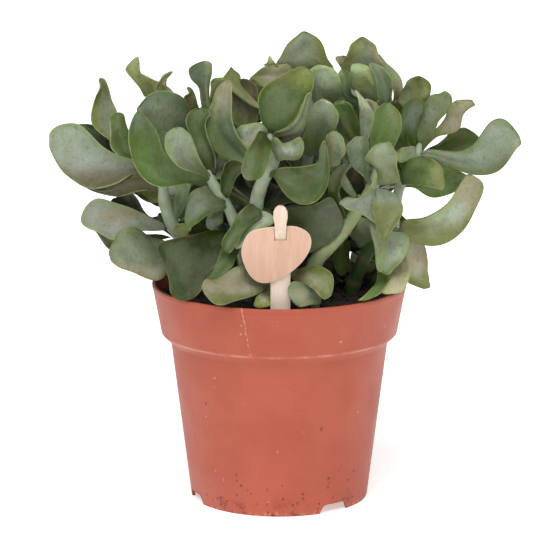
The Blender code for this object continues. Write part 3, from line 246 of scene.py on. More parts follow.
# The pot. Its shares are of the rim's radius, and those of the ledge and the band's foot of its height.
pot = {"rimRadius": 60.0, "height": 103.3, "wall": 1.5, "baseShare": 0.698, "bandShare": 0.928,
       "ledgeShare": 0.855, "bandFoot": 0.770, "ledge": 0.731, "floorTop": 5.9, "innerStep": 0.6,
       "lipHeight": 2.0, "lipFlare": 0.4, "lipSlope": 0.6, "rounding": 0.42, "steps": 144, "sharp": 38,
       "notchHeight": 4.2, "notchWidth": 17.6, "notchDepth": 9.0, "notchTaper": 0.72,
       "notchRounding": 1.6, "notchAngles": (38.0, -70.0, 164.0), "drainRadius": 3.5,
       "drainRing": 24.0, "drainCount": 4, "drainSteps": 32,
       "clay": fromScreen((186, 92, 69)), "deep": fromScreen((180, 86, 64)),
       "pale": fromScreen((203, 121, 99)), "dustAndHighlight": fromScreen((222, 176, 156)),
       "soil": fromScreen((92, 38, 26))}
baseRadius = pot["rimRadius"] * pot["baseShare"]
bandRadius = pot["rimRadius"] * pot["bandShare"]
ledgeRadius = pot["rimRadius"] * pot["ledgeShare"]
bandFoot = pot["height"] * pot["bandFoot"]
ledgeTop = pot["height"] * pot["ledge"]


def potMaterial():
    paint = Paint("potPlastic")
    height = paint.axis(paint.spot, 2)
    cloud = paint.noise(38.0, 4.0)
    fine = paint.noise(1400.0, 2.0)
    flecks = paint.noise(520.0, 1.0)
    patch = paint.noise(110.0)
    colour = paint.mixed(paint.ranged(cloud, 0.35, 0.65), pot["clay"], pot["deep"])
    mist = paint.times(paint.ranged(fine, 0.55, 0.72), paint.ranged(patch, 0.42, 0.62, 0.06, 0.3))
    colour = paint.mixed(mist, colour, pot["pale"])
    # pale lines at the band's foot and at the pot's foot: rubbed wear, and at the band's foot also a
    # painted highlight along the edge
    gap = paint.maths("ABSOLUTE", paint.plus(height, -bandFoot * mm))
    scuffAndHighlight = paint.times(paint.ranged(gap, 0.0002, 0.001, 1.0, 0.0),
                        paint.ranged(patch, 0.38, 0.6, 0.08, 0.42))
    foot = paint.times(paint.ranged(height, 0.0004, 0.003, 1.0, 0.0),
                       paint.ranged(flecks, 0.5, 0.7, 0.0, 0.5))
    colour = paint.mixed(paint.maths("MAXIMUM", scuffAndHighlight, foot), colour, pot["dustAndHighlight"])
    # a slanting pale scratch in the front of the band
    slant = paint.times(paint.plus(height, -0.094), 0.2)
    side = paint.plus(paint.plus(paint.axis(paint.spot, 0), 0.0158),
                      paint.plus(slant, paint.swung(patch, 0.004)))
    scratch = paint.ranged(paint.maths("ABSOLUTE", side), 0.0001, 0.0005, 0.65, 0.0)
    towardsFront = paint.times(paint.axis(paint.spot, 1), -1.0)
    for low, high, value in ((0.44, 0.62, flecks), (0.074, 0.094, height), (0.02, 0.03, towardsFront)):
        scratch = paint.times(scratch, paint.ranged(value, low, high))
    colour = paint.mixed(scratch, colour, pot["dustAndHighlight"])
    # specks, and dried soil that gathers near the foot
    shifts = {0: paint.noise(800.0, 1.0, None, "Color"), 1: (0.0022, 0.0022, 0.0022), 2: paint.spot}
    ragged = paint.node("VectorMath", shifts, operation="MULTIPLY_ADD").outputs[0]

    def specks(scale, size, share):
        cell = paint.node("TexVoronoi", {"Vector": ragged, "Scale": scale}).outputs
        chosen = paint.maths("LESS_THAN", paint.axis(cell["Color"], 0), share)
        return paint.times(chosen, paint.ranged(cell["Distance"], size * 0.4, size, 1.0, 0.0))

    low = paint.ranged(height, 0.004, 0.026, 1.0, 0.0)
    dirt = specks(150.0, 0.17, paint.plus(0.05, paint.times(low, 0.4)))
    grit = specks(420.0, 0.4, paint.times(low, 0.22))
    smear = paint.times(paint.ranged(patch, 0.49, 0.6), paint.ranged(height, 0.001, 0.01, 0.9, 0.0))
    smear = paint.times(smear, paint.ranged(flecks, 0.4, 0.6, 0.2, 1.0))
    dirt = paint.times(paint.maths("MAXIMUM", paint.maths("MAXIMUM", dirt, grit), smear), 0.8)
    colour = paint.mixed(dirt, colour, pot["soil"])
    colour = paint.mixed(paint.times(specks(240.0, 0.16, 0.09), 0.55), colour, pot["dustAndHighlight"])
    return paint.finish({"Base Color": colour, "Roughness": paint.ranged(cloud, 0.3, 0.7, 0.42, 0.54),
                         "Specular IOR Level": 0.3, "Subsurface Weight": 0.08,
                         "Subsurface Radius": (1.0, 0.4, 0.25), "Subsurface Scale": 0.002},
                        paint.plus(paint.times(fine, 0.4), dirt), 0.25, 0.0004)


def wallRadius(z):
    return baseRadius + (ledgeRadius - baseRadius) * z / ledgeTop


def notchCutter(angle):
    bm = bmesh.new()
    high = pot["notchHeight"]
    bmesh.ops.create_cube(bm, size=1.0)
    bmesh.ops.scale(bm, vec=Vector((pot["notchWidth"], pot["notchDepth"], high + 1)) * mm,
                    verts=bm.verts)
    bmesh.ops.translate(bm, vec=(0, -(baseRadius - 0.5) * mm, (high - 1) / 2 * mm), verts=bm.verts)
    for v in bm.verts:
        if v.co.z > 0:
            v.co.x *= pot["notchTaper"]
    rounded(bm, [e for e in bm.edges if all(v.co.z > 0 for v in e.verts)
                 and abs(e.verts[0].co.x - e.verts[1].co.x) < 1e-6], pot["notchRounding"], 4)
    bmesh.ops.rotate(bm, cent=(0, 0, 0), matrix=Matrix.Rotation(math.radians(angle), 3, "Z"),
                     verts=bm.verts)
    return newPiece("notchCutter", bm)


def drainCutter(number):
    bm = bmesh.new()
    bmesh.ops.create_cone(bm, cap_ends=True, segments=pot["drainSteps"], depth=6 * mm,
                          radius1=pot["drainRadius"] * mm, radius2=pot["drainRadius"] * mm)
    turn = math.radians(360 / pot["drainCount"] * (number + 0.5))
    bmesh.ops.translate(bm, vec=(pot["drainRing"] * math.sin(turn) * mm,
                                 pot["drainRing"] * math.cos(turn) * mm, 5 * mm), verts=bm.verts)
    return newPiece("drainCutter", bm)


def makePot():
    r, h, w, low = pot["rimRadius"], pot["height"], pot["wall"], pot["floorTop"]
    under = low - w
    lip = h - pot["lipHeight"]
    step = pot["innerStep"]
    profile = [(0, under), (wallRadius(under) - w, under), (baseRadius - w, 0), (baseRadius, 0),
               (ledgeRadius, ledgeTop), (bandRadius, bandFoot),
               (r - pot["lipFlare"], lip - pot["lipSlope"]), (r, lip), (r, h), (r - w, h),
               (bandRadius - w, bandFoot + step), (ledgeRadius - w, ledgeTop + step),
               (wallRadius(low) - w, low), (0, low)]
    made = newPiece("nurseryPot", spun(profile, pot["steps"], pot["rounding"]), [potMaterial()], True)
    cutWith(made, [notchCutter(angle) for angle in pot["notchAngles"]]
            + [drainCutter(number) for number in range(pot["drainCount"])], pot["sharp"])
    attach(made, "root")
    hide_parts("pot")
    print("pot made")


# The soil, strewn with crumbs.
soil = {"top": pot["height"] - 6.8, "gap": 0.35, "crown": 0.4, "steps": 96, "rings": 30,
        "bump": 1.1, "bumpScale": 190, "crumbs": 620, "crumbRadius": (0.5, 1.5), "seed": 5,
        "dark": (30, 24, 20), "pale": (66, 50, 40), "grit": (112, 86, 64)}


def soilMaterial():
    paint = Paint("dampPeat")
    cloud = paint.noise(180.0, 5.0)
    grit = paint.noise(1200.0)
    dark, pale, bright = [fromScreen(soil[key]) for key in ("dark", "pale", "grit")]
    colour = paint.mixed(paint.ranged(cloud, 0.3, 0.7), dark, pale)
    colour = paint.mixed(paint.ranged(grit, 0.62, 0.75, 0.0, 0.7), colour, bright)
    return paint.finish({"Base Color": colour, "Roughness": 0.92}, paint.plus(cloud, grit), 0.8, 0.001)


def makeSoil():
    gap, top = soil["gap"], soil["top"]
    inner = pot["wall"] + gap
    slope = (pot["rimRadius"] - bandRadius) / (pot["height"] - pot["lipHeight"] - bandFoot)
    edge = pot["rimRadius"] - inner - slope * (pot["height"] - top) - 0.2
    low = pot["floorTop"]
    profile = [(0, low + gap), (wallRadius(low) - inner, low + gap),
               (ledgeRadius - inner - 0.1, ledgeTop + 0.8), (bandRadius - inner - 0.2, bandFoot + 1.0),
               (edge, top)]
    profile += [(edge * (1 - k / soil["rings"]), top + soil["crown"])
                for k in range(1, soil["rings"] + 1)]
    bm = spun(profile, soil["steps"])
    for v in bm.verts:
        if v.co.z > top * mm - 1e-6 and math.hypot(v.co.x, v.co.y) < (edge - 0.5) * mm:
            v.co.z += noise.fractal(v.co * soil["bumpScale"], 1.0, 2.0, 4) * soil["bump"] * mm
    rng = random.Random(soil["seed"])
    for _ in range(soil["crumbs"]):
        turn, reach = rng.uniform(0, 2 * math.pi), (edge - 2.5) * math.sqrt(rng.random())
        size = rng.uniform(*soil["crumbRadius"])
        crumb = bmesh.ops.create_icosphere(bm, subdivisions=1, radius=size * mm)["verts"]
        spot = Vector((math.cos(turn) * reach, math.sin(turn) * reach, top + 0.5 + size * 0.3)) * mm
        for v in crumb:
            v.co = v.co * rng.uniform(0.65, 1.15)
        bmesh.ops.scale(bm, vec=(rng.uniform(0.7, 1.5), rng.uniform(0.7, 1.3), rng.uniform(0.5, 0.9)),
                        verts=crumb)
        bmesh.ops.translate(bm, vec=spot, verts=crumb)
    bmesh.ops.recalc_face_normals(bm, faces=bm.faces)
    made = newPiece("pottingMix", bm, [soilMaterial()])
    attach(made, "root")
    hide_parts("soil")
    print("soil made")


# The label: a flat stick behind a plate, through whose slit its top comes to the front.
label = {"x": 0.5, "plateY": -50.0, "stickThick": 1.6, "plateThick": 1.5, "gap": 0.35, "slitZ": 136.0,
         "slit": (5.5, 6.0, 5.4), "top": 150.2, "tip": 72.0, "half": 4.6, "neck": 2.6,
         "stickRounding": 0.3, "plateRounding": 0.4, "sharp": 40, "stickGrain": (6, 6, 0.5),
         "plateGrain": (5, 6, 0.6), "stick": ((249, 228, 210), (234, 207, 184)),
         "plate": ((225, 185, 160), (217, 174, 149)), "edge": (250, 228, 200),
         "outline": pairsOf("241.4 254.3 243.2 243.5 248.5 233.5 258 229 273 226.8 286.2 226 "
                            "297 226.8 306.7 231.5 311.2 239 309.8 249.5 302.5 261.4 291.3 271.9 "
                            "278.8 279.2 266.4 283 255.5 280.5 246.8 270.4")}
labelStep = label["stickThick"] / 2 + label["plateThick"] / 2 + label["gap"]
squareCorners = ((-1, -1), (1, -1), (1, 1), (-1, 1))


def woodMaterial(name, pale, dark, stretch, front=None):
    paint = Paint(name)
    grain = paint.noise(60.0, 5.0, stretch)
    pores = paint.noise(240.0, 3.0, stretch)
    colour = paint.mixed(paint.ranged(grain, 0.36, 0.66), fromScreen(pale), fromScreen(dark))
    colour = paint.mixed(paint.ranged(pores, 0.58, 0.74, 0.0, 0.2), colour,
                         fromScreen([c * 0.72 for c in dark]))
    if front is not None:  # pale where the cut edge is rounded, behind the front face
        edge = paint.ranged(paint.axis(paint.spot, 1), (front + 0.02) * mm, (front + 0.16) * mm)
        colour = paint.mixed(edge, colour, fromScreen(label["edge"]))
    return paint.finish({"Base Color": colour, "Roughness": paint.ranged(grain, 0.3, 0.7, 0.5, 0.64)},
                        paint.plus(grain, pores), 0.3, 0.0003)


def stickRows():  # height, half width and depth, from the tip in the soil to the top
    behind = label["plateY"] + labelStep
    front = label["plateY"] - labelStep
    tip, slit, top, half, neck = [label[key] for key in ("tip", "slitZ", "top", "half", "neck")]
    return [(tip, 0.9, behind), (tip + 4, 3.2, behind), (tip + 9, half, behind),
            (slit - 8, half, behind), (slit - 5, neck + 0.1, behind), (slit - 2.6, neck, behind),
            (slit + 2.6, neck, front), (slit + 5.5, neck + 0.1, front), (slit + 8.5, 3.3, front),
            (top - 3, 3.2, front), (top - 1.3, 2.4, front), (top - 0.4, 1.4, front),
            (top, 0.5, front)]


def stickRing(z, half, y):
    return [Vector((label["x"] + sx * half, y + sy * label["stickThick"] / 2, z))
            for sx, sy in squareCorners]


def makeStick():
    bm = bmesh.new()
    rows = stickRows()
    face = bm.faces.new([bm.verts.new(corner * mm) for corner in stickRing(*rows[0])])
    for (_, _, y0), (z, half, y) in zip(rows, rows[1:]):
        made = bmesh.ops.extrude_face_region(bm, geom=[face])
        for v in vertsOf(made):
            side = 1 if v.co.x > label["x"] * mm else -1
            v.co = Vector((label["x"] + side * half, v.co.y / mm + y - y0, z)) * mm
        if face.is_valid:
            bm.faces.remove(face)
        face = [f for f in made["geom"] if isinstance(f, bmesh.types.BMFace)][0]
    bmesh.ops.holes_fill(bm, edges=[e for e in bm.edges if e.is_boundary], sides=4)
    bmesh.ops.recalc_face_normals(bm, faces=bm.faces)
    rounded(bm, [e for e in bm.edges if abs(e.verts[0].co.z - e.verts[1].co.z) > 0.0001],
            label["stickRounding"], 2)
    wood = woodMaterial("stickWood", *label["stick"], label["stickGrain"])
    stick = newPiece("labelStick", bm, [wood], True)
    stick.data.set_sharp_from_angle(angle=math.radians(label["sharp"]))
    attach(stick, "root")
    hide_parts("label_stick")


def plateRing(steps):
    outline = [Vector(spot) for spot in label["outline"]]
    count = len(outline)
    spots = [curved(*[outline[(k + d) % count] for d in (-1, 0, 1, 2)], step / steps)
             for k in range(count) for step in range(steps)]
    return [place(spot.x, spot.y, label["plateY"]) for spot in spots]


def makePlate():
    bm = bmesh.new()
    half = Vector((0, label["plateThick"] / 2, 0))
    face = bm.faces.new([bm.verts.new((p + half) * mm) for p in plateRing(6)])
    made = bmesh.ops.extrude_face_region(bm, geom=[face])
    bmesh.ops.translate(bm, vec=-half * 2 * mm, verts=vertsOf(made))
    bmesh.ops.recalc_face_normals(bm, faces=bm.faces)
    rounded(bm, [e for e in bm.edges if abs(e.verts[0].co.y - e.verts[1].co.y) < 1e-6],
            label["plateRounding"], 2)
    wood = woodMaterial("plateWood", *label["plate"], label["plateGrain"], label["plateY"] - half.y)
    plate = newPiece("labelPlate", bm, [wood], True)
    slit = bmesh.new()
    bmesh.ops.create_cube(slit, size=1.0)
    bmesh.ops.scale(slit, vec=Vector(label["slit"]) * mm, verts=slit.verts)
    bmesh.ops.translate(slit, vec=Vector((label["x"], label["plateY"], label["slitZ"])) * mm,
                        verts=slit.verts)
    cutWith(plate, [newPiece("slitCutter", slit)], label["sharp"])
    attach(plate, "root")
    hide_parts("label_plate")
    print("label made")


# The plant: stems a to k, each with the leaves that grow on it. Sizes are in millimetres.
plant = {
    # blades; the stations are where the plain test bodies have their corners
    "thick": 2.2, "thinning": 0.45, "slim": 0.85, "widest": 0.6, "narrowest": 0.16, "facing": 0.4,
    "rootWidth": 3.2, "rootSink": 0.45, "innerHalf": 0.45,
    "drawnStations": (0.0, 0.15, 0.33, 0.51, 0.68, 0.83, 0.945), "drawnWave": 0.5, "drawnSpread": 0.3,
    "addedStations": (0.0, 0.22, 0.48, 0.72, 0.92), "addedWave": 0.8, "addedSpread": 0.6,
    "around": 20, "along": 22, "ruffle": 1.1, "dents": 2.9, "fold": 0.7, "cup": 1.3, "uneven": 1.3,
    # stems, with a knot at each step up
    "stemDepth": 14.0, "testSides": 8, "stemSides": 14, "stemStep": 2.2, "knotStep": 13.0,
    "knotSpread": 1.6, "knot": 0.14,
    # room that a leaf needs, and the ways it may be moved to find it
    "clearance": 0.35, "potGap": 0.8, "rimInside": 3.2, "soilGap": 2.2, "reach": 67.0,
    "fits": ((True, 1.0), (False, 1.0), (False, 0.85), (False, 0.7)), "bends": (0.7, 0.0, 1.2),
    "frontPushes": (0, -3, 3, -6, 6, -9, 9, -12, 12, -16, 16), "frontSeed": 6, "rootSpread": 0.14,
    "morePushes": (0, 3, 6, 9, 12, 16, 20, -4, -8), "morePhase": 1.0,
    # leaves behind the drawn ones, in pairs up each stem; the first ones have to cover bare spots
    "back": {"seed": 27, "count": 84, "tries": 6000, "length": (31, 45), "share": (0.44, 0.54),
             "aim": 40, "turn": 35, "rise": (-5, 30), "lowRise": (-35, 30), "steeper": 45,
             "arch": (0, 5), "sag": (-1, 4), "roll": 35, "twist": 40, "cup": (10, 50), "curl": 1.5},
    "freeTurn": "ghijk", "behind": "jk", "lowPairs": 3, "ringSteps": (0.2, 0.4, 0.6, 0.8, 0.95, 1.0),
    "bareSpan": (40, 540, 5), "coverCount": 50, "coverFirst": 10, "coverLeast": 2,
    "coverPatience": 60, "backTonesFrom": 22.0, "phases": (0, 6.28),
    # the last leaves, which close bare spots
    "fill": {"seed": 5, "tries": 9000, "length": (15, 46), "share": (0.4, 0.56), "longer": (1.05, 1.6),
             "depth": (-14, 30), "lowest": 0.7, "steepest": -0.45, "sag": (0, 3), "roll": 40,
             "twist": 40, "cup": (10, 40), "curl": 1.2, "across": (44, 540, 3), "down": (30, 300, 3)},
    # where the plant opens to the light, and how dark the painted shade makes leaves and stems deep
    # inside it
    "openAcross": (20, 46), "openUp": (165, 205), "openFront": (-4, 14), "deepestShade": 0.3,
    # screen colours that the leaves' tones are mixed from, and lighter and darker leaves. These are
    # partly painted light and shade: k is the colour of leaves in deep shadow, the levels lighten or
    # darken a leaf for how lit it looks, and leaves inside the plant take the darker inner tones
    "tones": {"s": (146, 156, 134), "l": (141, 149, 134), "g": (94, 111, 65), "v": (88, 111, 52),
              "d": (66, 81, 30), "t": (94, 107, 84), "o": (115, 120, 74), "b": (104, 97, 70),
              "p": (151, 146, 122), "y": (138, 150, 84), "w": (150, 158, 114), "m": (119, 128, 101),
              "k": (44, 52, 26)},
    "levels": {"": 1.0, "+": 1.3, "++": 1.65, "+++": 2.2, "-": 0.75, "--": 0.58},
    "backTones": "m/w s/w g/o t/w g=t/w m=l/g o/y l=m/p m^s/w g_o/o".split(),
    "innerTones": "g/o t/o d/g g=t/m d^g/g o_d/o t=m/m g_o/o d/m d^t/o".split(),
    "rimWidth": 0.65, "borderWidth": 4.5, "bloomMost": 0.54, "veil": 0.2,
    "green": (0.87, 0.97, 0.6), "blush": (1.2, 0.92, 0.88), "lift": (1.38, 1.42, 1.72),
    "bloom": fromScreen((168, 174, 154)), "flush": fromScreen((134, 104, 84)),
    "worn": fromScreen((60, 76, 44)), "stemPale": fromScreen((164, 180, 150)),
    "stemFoot": fromScreen((128, 140, 104)), "stemRing": fromScreen((140, 128, 96)),
    # stemShade, and stem e's top in stemTops, are painted shade: the dark green of stems that lie in
    # shade
    "stemShade": fromScreen((48, 78, 26)), "stemLight": (1.35, 1.3, 1.4),
    "stemDark": (0.62, 0.55, 0.42),
    "stemTops": {"d": fromScreen((150, 166, 112)), "e": fromScreen((92, 124, 66))},
    # the plant's outline (u, v), and round windows in it (u, v, radius)
    "outline": pairsOf(
        "60 145 72 130 95 128 97 108 104 100 112 118 122 120 131 134 134 118 143 106 148 98 "
        "150 86 160 90 178 99 190 106 202 108 204 92 208 82 236 82 250 86 268 74 282 64 "
        "300 44 314 44 322 60 334 76 346 76 352 54 362 44 372 54 384 72 400 86 412 80 "
        "424 84 430 98 444 98 442 108 432 122 426 140 424 151 440 156 470 160 488 160 480 172 "
        "462 172 452 188 430 192 402 184 396 196 400 214 398 232 404 262 402 280 394 288 370 297 "
        "330 304 280 305 220 301 190 296 170 292 168 276 150 272 125 264 112 254 116 242 100 226 "
        "88 218 94 206 112 204 120 196 136 192 108 190 90 184 76 176 62 162"),
    "windows": [(149, 210, 13), (159, 235, 10), (165, 154, 6), (440, 142, 9), (442, 121, 8)]}
toneOf = {key: fromScreen(colour) for key, colour in plant["tones"].items()}
headings = {"^": Vector((0, 1)), "_": Vector((0, -1)), "<": Vector((-1, 0)), ">": Vector((1, 0))}

# name, foot x and y, foot radius, top radius, then points (u, v, y) up the stem
stemRows = """
a -26 -10 3.3 2.4 205 262 -14 172 226 -20 163 192 -22 157 168 -20 150 150 -16
b -14 -12 2.8 2 244 262 -22 236 226 -26 226 203 -28 211 180 -30 204 160 -24 200 142 -18
c -5 -22 3.9 2.2 262 260 -26 257 215 -28 257 198 -30 266 174 -32 276 158 -28 269 136 -24 267 116 -16
d 15 -24 3.8 2.2 313 265 -30 333 243 -32 350 222 -32 372 188 -32 380 165 -26 384 142 -18
e 34 4 3.8 2.1 355 280 3 365 256 1 382 238 -4 398 230 -10
f 44 16 2.8 1.9 390 250 12 394 222 7 397 198 2 401 183 0 410 168 -3 419 150 -4 424 136 0
g 2 14 3 2 290 240 13 299 200 11 307 165 8 312 130 8 314 105 9 316 86 10
h 22 20 2.8 2 345 230 18 356 190 14 362 150 11 366 120 8 368 96 8
i -20 16 2.8 2 224 240 12 213 200 8 201 165 5 193 132 4 197 106 5
j -16 36 2.8 2 232 238 40 222 198 44 214 160 44 214 126 40
k 16 38 2.8 2 318 235 42 334 195 46 346 158 46 350 122 40
"""
